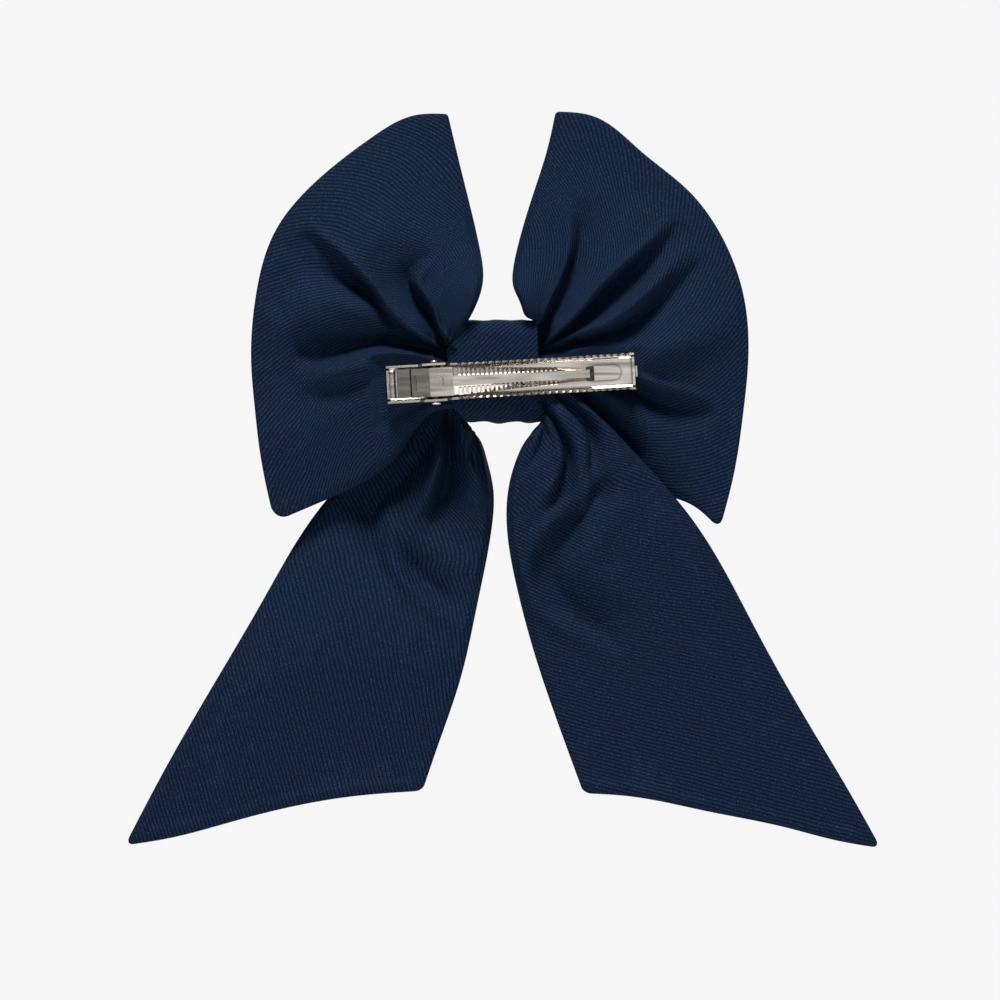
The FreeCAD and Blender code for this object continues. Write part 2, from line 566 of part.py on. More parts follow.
def pieces():
    """Every piece of the bow by its node name."""
    wings = {
        "left": wing(-1, LEFT_WING_TOP, LEFT_WING_BOTTOM, LEFT_WING_HEM, -1.2),
        "right": wing(1, RIGHT_WING_TOP, RIGHT_WING_BOTTOM, RIGHT_WING_HEM, 2.6),
    }
    tails = {
        "left": tail(-1, LEFT_TAIL_INNER, LEFT_TAIL_OUTER, LEFT_TAIL_HEM, LEFT_TAIL_DEPTHS),
        "right": tail(1, RIGHT_TAIL_INNER, RIGHT_TAIL_OUTER, RIGHT_TAIL_HEM, RIGHT_TAIL_DEPTHS),
    }
    made = {}
    for kind, panels in (("wing", wings), ("tail", tails)):
        for side, panel in panels.items():
            made[f"{kind}_{side}_back_layer"] = panel.layer(-1)
            made[f"{kind}_{side}_front_layer"] = panel.layer(1)
            made[f"{kind}_{side}_seam_thread"] = panel.thread()
    made["gathering_thread"] = gathering_thread()
    made["knot_band"] = knot_band()
    made["band_stitches"] = band_stitches()
    clip = {
        "clip_glue_pad": glue_pad(),
        "clip_toothed_base": toothed_base(),
        "clip_hinge_pin": hinge_pin(),
        "clip_ribbed_prong": ribbed_prong(),
        "clip_leaf_spring": leaf_spring(),
    }
    made.update({name: on_bow(shape) for name, shape in clip.items()})
    return made


def main():
    os.makedirs("parts", exist_ok=True)
    for name, shape in pieces().items():
        shape.exportStep(f"parts/{name}.step")
        box = shape.BoundBox
        print(f"{name}: {len(shape.Solids)} solid, valid {shape.isValid()}, {shape.Volume:.1f} mm3,",
              f"x {box.XMin:.1f}..{box.XMax:.1f}, y {box.YMin:.1f}..{box.YMax:.1f},",
              f"z {box.ZMin:.1f}..{box.ZMax:.1f}")


if __name__ == "__main__":
    main()
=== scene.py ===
"""Hair bow in navy twill on a nickel alligator clip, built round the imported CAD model.

Lengths in the classes are millimetres in the bow's own frame. +X is right and +Z up as the clip side is seen,
and the clip side faces -Y. Meshes are written in metres.
"""
from __future__ import annotations

import logging
import math
from dataclasses import dataclass, field
from enum import Enum
from typing import Any, Sequence

import bmesh
import bpy
import numpy as np
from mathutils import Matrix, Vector

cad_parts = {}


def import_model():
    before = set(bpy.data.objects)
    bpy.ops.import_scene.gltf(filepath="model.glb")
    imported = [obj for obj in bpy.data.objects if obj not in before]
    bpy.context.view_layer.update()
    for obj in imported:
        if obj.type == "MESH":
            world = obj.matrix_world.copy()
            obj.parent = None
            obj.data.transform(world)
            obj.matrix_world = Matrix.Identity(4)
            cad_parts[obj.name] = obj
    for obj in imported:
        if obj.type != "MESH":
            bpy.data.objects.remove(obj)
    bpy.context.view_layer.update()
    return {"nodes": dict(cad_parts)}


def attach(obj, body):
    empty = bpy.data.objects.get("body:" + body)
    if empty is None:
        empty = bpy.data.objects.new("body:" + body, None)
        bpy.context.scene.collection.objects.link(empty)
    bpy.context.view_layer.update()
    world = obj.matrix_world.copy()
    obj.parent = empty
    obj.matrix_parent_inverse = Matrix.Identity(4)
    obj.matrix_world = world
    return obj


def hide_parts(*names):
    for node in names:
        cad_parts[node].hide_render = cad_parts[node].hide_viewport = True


log = logging.getLogger("hair_bow")

MM = 0.001
PIN_X = -13.0           # the clip's pin, to the left of the knot's middle
PIN_Z = -2.3
CLIP_TILT = 3.3         # degrees that the clip's tip stands higher than its lever
CLIP_CENTRE = 2.3       # middle of the clip's length
CLIP_HALF_LENGTH = 25.4
CLIP_HALF_WIDTH = 3.6
CLIP_UNDER = 1.75       # depth that cloth under the clip stays below
HIGHEST = -1.2          # depth that the cloth's ridges rise to elsewhere
PRINT_BESIDE = 4.5      # how far beside the clip its print in the cloth fades out
PRINT_BEYOND = 5.0      # and how far beyond its ends
PRINT_SOFT = 0.8        # how gently cloth that would rise past its limit is held back
SEAM_FROM = 0.14        # share of a bag's length where its stitches begin, inside the knot
SEAM_EDGE_POINTS = 160
SEAM_HEM_POINTS = 220
STITCH_RINGS = 4        # rings of points along one stitch
STITCH_SIDES = 6        # and points round each
STITCH_SHARE = 0.62     # of the pitch that the thread shows
STITCH_END = 0.55       # radius where a stitch dives in, as a share of its middle's
FOLD_STEPS = 41         # points along a fold's line
EDGE_LINES = (0.0, 0.08, 0.2, 0.38, 0.62, 0.9, 1.25)    # distances from an edge that the grid has lines at

Array = np.ndarray
Point = tuple[float, float]
Place = tuple[float, float, float]


class Side(Enum):
    """Which layer of a sewn bag a piece of cloth is, by the way it faces."""

    BACK = -1
    FRONT = 1


# ---------------------------------------------------------------- finishes


def linear(colour: str) -> tuple[float, float, float, float]:
    """Turns an sRGB hex colour into the linear RGBA that shaders take.

    Args:
        colour: six hex digits.

    Returns:
        Red, green, blue and a full alpha.
    """
    parts = [int(colour[i:i + 2], 16) / 255 for i in (0, 2, 4)]
    red, green, blue = (c / 12.92 if c <= 0.04045 else ((c + 0.055) / 1.055) ** 2.4 for c in parts)
    return red, green, blue, 1.0


def add_node(tree: bpy.types.NodeTree, kind: str, inputs: dict[Any, Any] | None = None,
             **settings: Any) -> bpy.types.Node:
    """Adds one node to a tree.

    Args:
        tree: the material's or the world's node tree.
        kind: the node's type, without its ShaderNode prefix.
        inputs: for an input's name or number, a value or the output socket that feeds it.
        settings: the node's own properties.

    Returns:
        The node.
    """
    made = tree.nodes.new("ShaderNode" + kind)
    for name, value in settings.items():
        setattr(made, name, value)
    for name, value in (inputs or {}).items():
        if isinstance(value, bpy.types.NodeSocket):
            tree.links.new(value, made.inputs[name])
        else:
            made.inputs[name].default_value = value
    return made


def blank_material(name: str) -> tuple[bpy.types.Material, bpy.types.NodeTree, bpy.types.Node]:
    """Makes a material with one principled shader on its output.

    Args:
        name: what the finish is.

    Returns:
        The material, its node tree and the shader.
    """
    material = bpy.data.materials.new(name)
    material.use_nodes = True
    tree = material.node_tree
    return material, tree, tree.nodes["Principled BSDF"]


@dataclass(frozen=True)
class NavyTwill:
    """Piece-dyed polyester suiting twill.

    Matt floats lie in steep diagonal ribs, with fine lint among them, painted shade in the grooves between
    ribs and painted highlights (glints) on the ribs.
    """

    slant: float
    rib_pitch: float = 0.76     # between diagonal ribs
    yarn_pitch: float = 0.42    # between the yarns that break each rib into floats
    wander: float = 0.16        # slow bends of the ribs in each millimetre
    lint: float = 2.1           # specks of lint in each millimetre
    glint_spots: float = 3.4          # painted highlights (glints) in each millimetre
    top: str = "14243B"
    # painted shade: the darker navy that the grooves between ribs are mixed toward
    groove_shade: str = "080F1B"
    # painted highlight: the light blue of the glints on the rib tops
    painted_glint: str = "2A456F"
    name: str = "navy_twill"

    def weave(self, tree: bpy.types.NodeTree, place: bpy.types.NodeSocket) -> bpy.types.NodeSocket:
        """Draws the ribs, broken into floats by the yarns that cross them and blurred by lint.

        Args:
            tree: the material's node tree.
            place: the place on the cloth, whose first axis is the way out from the knot.

        Returns:
            The weave's height, from 0 to 1.
        """
        turned = add_node(tree, "Mapping", {"Vector": place, "Rotation": (0, 0, math.radians(-self.slant))},
                          vector_type="POINT").outputs[0]
        wander = add_node(tree, "TexNoise", {"Vector": place, "Scale": self.wander / MM,
                                             "Detail": 2.0}).outputs["Fac"]
        drawn = add_node(tree, "SeparateXYZ", {0: turned}).outputs
        shift = add_node(tree, "Math", {0: wander, 1: 0.9 * self.rib_pitch * MM},
                         operation="MULTIPLY").outputs[0]
        across = add_node(tree, "Math", {0: drawn["Y"], 1: shift}, operation="ADD").outputs[0]
        turns = add_node(tree, "Math", {0: across, 1: 2 * math.pi / (self.rib_pitch * MM)},
                         operation="MULTIPLY").outputs[0]
        wave = add_node(tree, "Math", {0: turns}, operation="SINE").outputs[0]
        rib = add_node(tree, "MapRange", {"Value": wave, "From Min": -1.0, "From Max": 0.1}).outputs[0]
        plain = add_node(tree, "SeparateXYZ", {0: place}).outputs
        yarns = add_node(tree, "Math", {0: plain["Y"], 1: 2 * math.pi / (self.yarn_pitch * MM)},
                         operation="MULTIPLY").outputs[0]
        yarn = add_node(tree, "Math", {0: yarns}, operation="SINE").outputs[0]
        float_break = add_node(tree, "MapRange", {"Value": yarn, "From Min": -1.0, "From Max": 1.0,
                                                  "To Min": 0.8, "To Max": 1.0}).outputs[0]
        lint = add_node(tree, "TexNoise", {"Vector": place, "Scale": self.lint / MM,
                                           "Detail": 3.0}).outputs["Fac"]
        fuzz = add_node(tree, "MapRange", {"Value": lint, "From Min": 0.3, "From Max": 0.7,
                                           "To Min": 0.45, "To Max": 1.0}).outputs[0]
        woven = add_node(tree, "Math", {0: rib, 1: float_break}, operation="MULTIPLY").outputs[0]
        return add_node(tree, "Math", {0: woven, 1: fuzz}, operation="MULTIPLY").outputs[0]

    def material(self) -> bpy.types.Material:
        """Makes the cloth navy on its ribs, with painted shade in its grooves and painted highlights (glints)
        on the ribs.

        Returns:
            The material.
        """
        material, tree, shader = blank_material(self.name)
        place = add_node(tree, "UVMap", uv_map="cloth").outputs["UV"]
        height = self.weave(tree, place)
        # Painted shade: the weave's grooves are mixed toward a darker navy.
        dye_and_shade = add_node(tree, "Mix", {"Factor": height, "A": linear(self.groove_shade), "B": linear(self.top)},
                       data_type="RGBA").outputs["Result"]
        # Painted highlight: bright specks on the rib tops stand in for glints off single filaments.
        glint_spots = add_node(tree, "TexNoise", {"Vector": place, "Scale": self.glint_spots / MM,
                                            "Detail": 1.0}).outputs["Fac"]
        bright = add_node(tree, "MapRange", {"Value": glint_spots, "From Min": 0.56, "From Max": 0.78}).outputs[0]
        glint = add_node(tree, "Math", {0: bright, 1: height}, operation="MULTIPLY").outputs[0]
        cloth = add_node(tree, "Mix", {"Factor": glint, "A": dye_and_shade, "B": linear(self.painted_glint)},
                         data_type="RGBA").outputs["Result"]
        relief = add_node(tree, "Bump", {"Height": height, "Distance": 0.1 * MM, "Strength": 0.8}).outputs[0]
        tree.links.new(cloth, shader.inputs["Base Color"])
        tree.links.new(relief, shader.inputs["Normal"])
        # Dry, scoured yarn: nearly no gloss, and only a breath of sheen at a glancing angle.
        shader.inputs["Roughness"].default_value = 0.8
        shader.inputs["IOR"].default_value = 1.5
        shader.inputs["Specular IOR Level"].default_value = 0.03
        shader.inputs["Sheen Weight"].default_value = 0.01
        shader.inputs["Sheen Roughness"].default_value = 0.4
        shader.inputs["Sheen Tint"].default_value = linear("7C94C0")
        return material


@dataclass(frozen=True)
class Metal:
    """A bright metal finish with drawn-sheet waviness, handling scuffs and painted shade in its recesses."""

    name: str
    colour: str
    roughness: float
    scuff: float
    wave: float = 0.14          # height of the sheet's waviness
    waves: float = 0.45         # and how many there are in each millimetre
    scuffs: float = 0.7         # scuffs in each millimetre
    drawn: float = 0.12         # width of a drawing mark over its length
    shade_reach: float = 0.7        # how near another wall the painted recess shade reaches
    # painted shade: the dark colour that recesses are mixed toward
    recess_shade: str = "3A3632"

    def material(self) -> bpy.types.Material:
        """Bends the reflections with the sheet's waviness, dulls it with scuffs and paints shade into its
        recesses.

        Returns:
            The material.
        """
        material, tree, shader = blank_material(self.name)
        place = add_node(tree, "TexCoord").outputs["Object"]
        drawn = add_node(tree, "Mapping", {"Vector": place, "Scale": (self.drawn, 1.0, 1.0)}).outputs[0]
        scuffs = add_node(tree, "TexNoise", {"Vector": drawn, "Scale": self.scuffs / MM,
                                             "Detail": 2.0}).outputs["Fac"]
        dulled = add_node(tree, "MapRange", {"Value": scuffs, "From Min": 0.35, "From Max": 0.75,
                                             "To Min": self.roughness,
                                             "To Max": self.roughness + self.scuff}).outputs[0]
        waves = add_node(tree, "TexNoise", {"Vector": drawn, "Scale": self.waves / MM,
                                            "Detail": 1.0}).outputs["Fac"]
        relief = add_node(tree, "Bump", {"Height": waves, "Distance": self.wave * MM,
                                         "Strength": 1.0}).outputs[0]
        tree.links.new(dulled, shader.inputs["Roughness"])
        tree.links.new(relief, shader.inputs["Normal"])
        # Painted shade: an ambient-occlusion node darkens the colour in recesses and between the ribs.
        shut_in = add_node(tree, "AmbientOcclusion", {"Distance": self.shade_reach * MM}, samples=8).outputs["AO"]
        recess_shade_mask = add_node(tree, "MapRange", {"Value": shut_in, "From Min": 0.35,
                                              "From Max": 0.95}).outputs[0]
        plate_and_shade = add_node(tree, "Mix", {"Factor": recess_shade_mask, "A": linear(self.recess_shade), "B": linear(self.colour)},
                         data_type="RGBA").outputs["Result"]
        tree.links.new(plate_and_shade, shader.inputs["Base Color"])
        shader.inputs["Metallic"].default_value = 1.0
        return material


@dataclass(frozen=True)
class NavyThread:
    """Spun polyester sewing thread: matt, with the ply's twist as fine slanting bands, darkened in the
    twist's grooves with painted shade.
    """

    name: str = "navy_thread"
    colour: str = "1C2A44"
    twist_pitch: float = 0.35

    def material(self) -> bpy.types.Material:
        """Bands the thread with its twist, whichever way it lies, with painted shade in the twist's grooves.

        Returns:
            The material.
        """
        material, tree, shader = blank_material(self.name)
        place = add_node(tree, "TexCoord").outputs["Object"]
        twist = add_node(tree, "TexWave", {"Vector": place, "Scale": 0.31 / (self.twist_pitch * MM)},
                         bands_direction="DIAGONAL").outputs["Fac"]
        relief = add_node(tree, "Bump", {"Height": twist, "Distance": 0.03 * MM}).outputs[0]
        # Painted shade: the twist's grooves are mixed toward a darker navy.
        dye_and_shade = add_node(tree, "Mix", {"Factor": twist, "A": linear("111B2E"), "B": linear(self.colour)},
                       data_type="RGBA").outputs["Result"]
        tree.links.new(relief, shader.inputs["Normal"])
        tree.links.new(dye_and_shade, shader.inputs["Base Color"])
        shader.inputs["Roughness"].default_value = 0.7
        return material


@dataclass(frozen=True)
class HotMeltGlue:
    """Hot melt adhesive: milky, waxy, and slightly rippled where it was pressed out."""

    name: str = "hot_melt_glue"
    colour: str = "D9D4C4"

    def material(self) -> bpy.types.Material:
        """Gives it a soft, half-clear body under a smooth skin.

        Returns:
            The material.
        """
        material, tree, shader = blank_material(self.name)
        place = add_node(tree, "TexCoord").outputs["Object"]
        swell = add_node(tree, "TexNoise", {"Vector": place, "Scale": 0.9 / MM, "Detail": 2.0}).outputs["Fac"]
        relief = add_node(tree, "Bump", {"Height": swell, "Distance": 0.1 * MM}).outputs[0]
        tree.links.new(relief, shader.inputs["Normal"])
        shader.inputs["Base Color"].default_value = linear(self.colour)
        shader.inputs["Roughness"].default_value = 0.35
        shader.inputs["IOR"].default_value = 1.48
        shader.inputs["Subsurface Weight"].default_value = 0.3
        shader.inputs["Subsurface Scale"].default_value = 1.0 * MM
        return material


@dataclass(frozen=True)
class PaleSeamlessPaper:
    """Matt white seamless paper for the floor."""

    name: str = "pale_seamless_paper"
    colour: str = "EDEDEC"

    def material(self) -> bpy.types.Material:
        """Gives it a faint tooth and nothing else.

        Returns:
            The material.
        """
        material, tree, shader = blank_material(self.name)
        place = add_node(tree, "TexCoord").outputs["Object"]
        tooth = add_node(tree, "TexNoise", {"Vector": place, "Scale": 0.8 / MM}).outputs["Fac"]
        relief = add_node(tree, "Bump", {"Height": tooth, "Distance": 0.02 * MM}).outputs[0]
        tree.links.new(relief, shader.inputs["Normal"])
        shader.inputs["Base Color"].default_value = linear(self.colour)
        shader.inputs["Roughness"].default_value = 0.9
        return material


# ---------------------------------------------------------------- shapes


class Curve:
    """A smooth curve through points, taken by its share of the way from 0 to 1."""

    def __init__(self, points: Sequence[Sequence[float]]) -> None:
        """Solves for the curve's bend at each point.

        Args:
            points: what it passes through.
        """
        self.points = np.array(points, float)
        steps = np.linalg.norm(np.diff(self.points, axis=0), axis=1)
        self.shares = np.concatenate(([0.0], np.cumsum(steps))) / steps.sum()
        self.length = float(steps.sum())
        count = len(self.points)
        rows, sides = np.eye(count), np.zeros_like(self.points)
        for i in range(1, count - 1):
            before, after = self.shares[i] - self.shares[i - 1], self.shares[i + 1] - self.shares[i]
            rows[i, i - 1:i + 2] = before, 2 * (before + after), after
            sides[i] = 6 * ((self.points[i + 1] - self.points[i]) / after
                            - (self.points[i] - self.points[i - 1]) / before)
        self.bends = np.linalg.solve(rows, sides)

    def __call__(self, share: Array) -> Array:
        """Reads the curve.

        Args:
            share: where on it, from 0 to 1.

        Returns:
            The points there.
        """
        x = np.clip(share, 0.0, 1.0)
        k = np.clip(np.searchsorted(self.shares, x, side="right") - 1, 0, len(self.points) - 2)
        step = self.shares[k + 1] - self.shares[k]
        a, b = ((self.shares[k + 1] - x) / step)[..., None], ((x - self.shares[k]) / step)[..., None]
        bend = ((a ** 3 - a) * self.bends[k] + (b ** 3 - b) * self.bends[k + 1]) * (step ** 2)[..., None] / 6
        return a * self.points[k] + b * self.points[k + 1] + bend


def ease(x: Array) -> Array:
    """A smooth step from 0 to 1."""
    x = np.clip(x, 0.0, 1.0)
    return x * x * (3 - 2 * x)


@dataclass(frozen=True)
class Fold:
    """A valley in the cloth along a line, or a ridge where its depth is negative."""

    path: tuple[Point, ...]
    depth: tuple[float, ...]
    width: tuple[float, ...]
    lean: float = 0.0           # above 0, the side on the path's left is the gentler one
    sharp: float = 0.35         # how rounded the valley's bottom is
    shoulder: float = 0.35      # how far the cloth swells beside it

    def height(self, at: Array) -> Array:
        """Measures the fold where the cloth lies.

        Args:
            at: points (x, z).

        Returns:
            How far the cloth sinks at each.
        """
        line = Curve(self.path)
        share = np.linspace(0.0, 1.0, FOLD_STEPS)
        points = line(share)
        flat = at.reshape(-1, 2)
        best = np.full(len(flat), 1e9)
        where, side = np.zeros(len(flat)), np.zeros(len(flat))
        for i in range(len(points) - 1):
            a, b = points[i], points[i + 1]
            run = b - a
            along = np.clip(((flat - a) @ run) / (run @ run), 0.0, 1.0)
            off = flat - (a + along[:, None] * run)
            far = np.hypot(off[:, 0], off[:, 1])
            nearer = far < best
            best[nearer] = far[nearer]
            where[nearer] = share[i] + along[nearer] * (share[i + 1] - share[i])
            side[nearer] = np.sign(run[0] * off[nearer, 1] - run[1] * off[nearer, 0])
        stops = np.linspace(0.0, 1.0, len(self.depth))
        depth = np.interp(where, stops, self.depth)
        width = np.interp(where, np.linspace(0.0, 1.0, len(self.width)), self.width)
        width = width * (1 + self.lean * side)
        q = best / width
        valley = np.exp(-(np.sqrt(q * q + self.sharp ** 2) - self.sharp) * 1.6)
        swell = np.exp(-((q - 2.1) / 0.9) ** 2) * self.shoulder
        return (depth * (valley - swell)).reshape(at.shape[:-1])


def ripple(x: Array, seed: int, octaves: int = 4) -> Array:
    """Smooth noise along one value, between about -1 and 1.

    Args:
        x: where.
        seed: which noise.
        octaves: how many finer waves it has.

    Returns:
        The noise there.
    """
    draw = np.random.default_rng(seed)
    total = np.zeros_like(x)
    for i in range(octaves):
        total += np.sin(2 * math.pi * (x * (1 + 0.8 * i) + draw.random())) / (1 + 0.5 * i)
    return total / 2.2


def grid_faces(rows: int, columns: int, start: int = 0, flip: bool = False) -> list[tuple[int, ...]]:
    """Quads over a grid of vertices.

    Args:
        rows: vertices one way.
        columns: vertices the other way.
        start: the grid's first vertex.
        flip: whether the quads turn the other way.

    Returns:
        Each quad's vertex numbers.
    """
    faces = []
    for i in range(rows - 1):
        for j in range(columns - 1):
            a = start + i * columns + j
            quad = (a, a + 1, a + columns + 1, a + columns)
            faces.append(quad[::-1] if flip else quad)
    return faces


def normals_of(grid: Array) -> Array:
    """Works out which way a surface faces.

    Args:
        grid: rows and columns of points.

    Returns:
        The unit normal at each.
    """
    along, across = np.gradient(grid, axis=0), np.gradient(grid, axis=1)
    normal = np.cross(along, across)
    return normal / np.maximum(np.linalg.norm(normal, axis=2, keepdims=True), 1e-9)


def closed_object(name: str, mesh: bpy.types.Mesh) -> bpy.types.Object:
    """Puts a closed mesh in the scene, smooth and with its faces outward.

    Args:
        name: the piece's name.
        mesh: its mesh.

    Returns:
        Its object, at the origin.
    """
    solid = bmesh.new()
    solid.from_mesh(mesh)
    bmesh.ops.recalc_face_normals(solid, faces=solid.faces)
    solid.to_mesh(mesh)
    solid.free()
    mesh.polygons.foreach_set("use_smooth", np.ones(len(mesh.polygons), dtype=bool))
    made = bpy.data.objects.new(name, mesh)
    bpy.context.scene.collection.objects.link(made)
    return made


def cloth_object(name: str, outer: Array, inner: Array, uv: Array) -> bpy.types.Object:
    """Joins two grids of points into one closed sheet.

    Args:
        name: the piece's name.
        outer: its right side, in millimetres.
        inner: its wrong side.
        uv: the place of each point on the flat cloth, in millimetres.

    Returns:
        The sheet's object, at the origin.
    """
    rows, columns = outer.shape[:2]
    size = rows * columns
    points = np.concatenate((outer.reshape(-1, 3), inner.reshape(-1, 3))) * MM
    faces = grid_faces(rows, columns) + grid_faces(rows, columns, size, True)
    rim = [j for j in range(columns)] + [i * columns + columns - 1 for i in range(1, rows)]
    rim += [(rows - 1) * columns + j for j in range(columns - 2, -1, -1)]
    rim += [i * columns for i in range(rows - 2, 0, -1)]
    for a, b in zip(rim, rim[1:] + rim[:1]):
        faces.append((b, a, a + size, b + size))
    mesh = bpy.data.meshes.new(name)
    mesh.from_pydata(points.tolist(), [], faces)
    layer = mesh.uv_layers.new(name="cloth")
    corners = np.empty(len(mesh.loops), dtype=np.int32)
    mesh.loops.foreach_get("vertex_index", corners)
    flat = np.concatenate((uv.reshape(-1, 2), uv.reshape(-1, 2))) * MM
    layer.data.foreach_set("uv", flat[corners].astype(np.float32).ravel())
    return closed_object(name, mesh)


def spaced(length: float, count: int, fine: Sequence[float], both: bool) -> Array:
    """Shares from 0 to 1, closer together by an edge.

    Args:
        length: what they divide, in millimetres.
        count: steps of the even part.
        fine: distances from an edge that get a line of their own.
        both: whether both ends are edges, and not only the end at 1.

    Returns:
        The shares, in order.
    """
    near = [e / length for e in fine]
    even = np.linspace(near[-1] if both else 0.0, 1 - near[-1], count)
    ends = [1 - e for e in reversed(near[:-1])]
    return np.array((near[:-1] if both else []) + list(even) + ends)


def stitch_tube(thread: Array, radius: float, first: int) -> tuple[list[Array], list[tuple[int, ...]]]:
    """Makes one stitch of thread, thinner where it dives into the cloth at each end.

    Args:
        thread: the points of its middle line, one for each ring.
        radius: the thread's.
        first: the number of the stitch's first vertex.

    Returns:
        Its points and its faces.
    """
    across = np.cross(thread[-1] - thread[0], (0.0, 1.0, 0.0))
    across /= np.linalg.norm(across)
    points = []
    for ring, centre in enumerate(thread):
        wide = radius * (STITCH_END if ring in (0, STITCH_RINGS - 1) else 1.0)
        for k in range(STITCH_SIDES):
            turn = 2 * math.pi * k / STITCH_SIDES
            points.append(centre + wide * (across * math.cos(turn) + np.array((0.0, math.sin(turn), 0.0))))
    faces = []
    for ring in range(STITCH_RINGS - 1):
        for k in range(STITCH_SIDES):
            a = first + ring * STITCH_SIDES + k
            b = first + ring * STITCH_SIDES + (k + 1) % STITCH_SIDES
            faces.append((a, b, b + STITCH_SIDES, a + STITCH_SIDES))
    last = first + (STITCH_RINGS - 1) * STITCH_SIDES
    faces.append(tuple(range(first + STITCH_SIDES - 1, first - 1, -1)))
    faces.append(tuple(range(last, last + STITCH_SIDES)))
    return points, faces


@dataclass
class Bag:
    """A cloth bag, sewn from two layers, turned, and gathered into the knot at one end."""

    name: str
    gather: tuple[Point, ...]
    near: tuple[Point, ...]
    far: tuple[Point, ...]
    hem: tuple[Point, ...]
    flat: tuple[float, float]
    cut_area: float
    slant: float
    folds: dict[Side, tuple[Fold, ...]]
    rows: int
    columns: int
    corners: tuple[float, float] = (1.0, 2.2)   # how round the hem's ends are, by the near and the far edge
    cloth: float = 0.45
    roll: float = 0.75          # radius of the turned edge
    allowance: float = 2.8      # the seam allowance's width inside the edge
    ridge: float = 0.12         # how far it shows through
    stitch: float = 2.5         # pitch of the seam's stitches
    thread: float = 0.12        # their thread's radius
    pleats: int = 7
    pleat_depth: float = 0.7
    pleat_at: float = 0.1       # share of the length where the pleats are deepest
    pleat_fade: float = 0.17    # and over which they die away
    take_up: float = 0.6        # share of the cloth that folds take up which shows in its weave
    turn: int = 1               # 1 where its edges follow each other anticlockwise, and -1 clockwise
    seed: int = 1

    def middle(self, s: Array, t: Array) -> Array:
        """Gives the depth of the surface between the layers at shares of the length and width."""
        raise NotImplementedError

    def half(self, s: Array, t: Array) -> Array:
        """Gives how far each layer puffs out from the middle at shares of the length and width."""
        raise NotImplementedError

    def on_cloth(self, flat: Array) -> Array:
        """Gives where points of the bow's plane lie on the uncut cloth, along its warp and across it."""
        raise NotImplementedError

    def lines(self) -> tuple[Array, Array, Array]:
        """Draws the grid that the bag is built on.

        Returns:
            Shares of its length and width with the corners rounded, and each point's distance from the edge.
        """
        sides = Curve(self.gather[:1] + self.near), Curve(self.gather[-1:] + self.far)
        long, wide = (sides[0].length + sides[1].length) / 2, Curve(self.hem).length
        s, t = np.meshgrid(spaced(long, self.rows, EDGE_LINES, False),
                           spaced(wide, self.columns, EDGE_LINES, True), indexing="ij")
        out = (1 - s) * long
        side = np.minimum(t, 1 - t) * wide
        edge = np.minimum(out, side)
        corner = np.where(t < 0.5, self.corners[0], self.corners[1])
        x, y = 1 - out / corner, 1 - side / corner
        both = (x > 0) & (y > 0)
        x, y = np.where(both, x, 0.0), np.where(both, y, 0.0)
        round_x, round_y = x * np.sqrt(1 - y * y / 2), y * np.sqrt(1 - x * x / 2)
        s = np.where(both, 1 - (1 - round_x) * corner / long, s)
        across = (1 - round_y) * corner / wide
        t = np.where(both, np.where(t < 0.5, across, 1 - across), t)
        edge = np.where(both, corner * (1 - np.hypot(round_x, round_y)), edge)
        return s, t, np.maximum(edge, 0.0)

    def place(self, s: Array, t: Array) -> Array:
        """Fills the outline with an even patch between its four sides.

        Args:
            s: shares of the bag's length.
            t: shares of its width.

        Returns:
            The points in the bow's plane.
        """
        near, far = Curve(self.gather[:1] + self.near), Curve(self.gather[-1:] + self.far)
        gather, hem = Curve(self.gather), Curve(self.hem)
        a, b = s[..., None], t[..., None]
        ends = [c(np.array(x)) for c in (near, far) for x in (0.0, 1.0)]
        corners = (ends[0] * (1 - b) + ends[2] * b) * (1 - a) + (ends[1] * (1 - b) + ends[3] * b) * a
        return near(s) * (1 - b) + far(s) * b + gather(t) * (1 - a) + hem(t) * a - corners

    def pressed(self, depth: Array, flat: Array) -> Array:
        """Keeps the back layer under the clip that lies on it.

        Args:
            depth: the back layer's depth at each point.
            flat: the points in the bow's plane.

        Returns:
            The depth with the clip's print in it.
        """
        line = PIN_Z + (flat[..., 0] - PIN_X) * math.tan(math.radians(CLIP_TILT))
        beside = ease((np.abs(flat[..., 1] - line) - CLIP_HALF_WIDTH) / PRINT_BESIDE)
        beyond = ease((np.abs(flat[..., 0] - CLIP_CENTRE) - CLIP_HALF_LENGTH) / PRINT_BEYOND)
        least = CLIP_UNDER + (HIGHEST - CLIP_UNDER) * np.maximum(beside, beyond)
        over = (least - depth) / PRINT_SOFT
        held = least + PRINT_SOFT * np.log1p(np.exp(-np.clip(over, -30.0, 30.0)))
        return np.where(over < -4.0, depth, held)

    def pleated(self, s: Array, t: Array, seed: int) -> Array:
        """Fans pleats out from the gather and lets them die away.

        Args:
            s: shares of the bag's length.
            t: shares of its width.
            seed: which way the pleats wander.

        Returns:
            How far they lift the cloth.
        """
        wander = t + 0.035 * ripple(t * 2.0 + s * 0.8, seed)
        wave = np.cos(2 * math.pi * (self.pleats * wander))
        wave = wave + 0.45 * ripple(wander * self.pleats * 0.6, seed + 5)
        fading = np.exp(-((s - self.pleat_at) / self.pleat_fade) ** 2)
        return self.pleat_depth * wave * fading * np.sin(math.pi * t) ** 0.4

    def seam_line(self) -> Array:
        """Draws the seam between the layers, as far inside the edge as the allowance.

        Returns:
            Points out along the near edge, round the hem and back along the far edge.
        """
        wide, long = Curve(self.hem).length, Curve(self.gather[:1] + self.near).length
        side, end = self.allowance / wide, 1 - self.allowance / long
        out = np.linspace(SEAM_FROM, end, SEAM_EDGE_POINTS)
        over = np.linspace(side, 1 - side, SEAM_HEM_POINTS)
        s = np.concatenate((out, np.full(len(over), end), out[::-1]))
        t = np.concatenate((np.full(len(out), side), over, np.full(len(out), 1 - side)))
        flat = self.place(s, t)
        return np.stack((flat[:, 0], self.middle(s, t), flat[:, 1]), axis=-1)

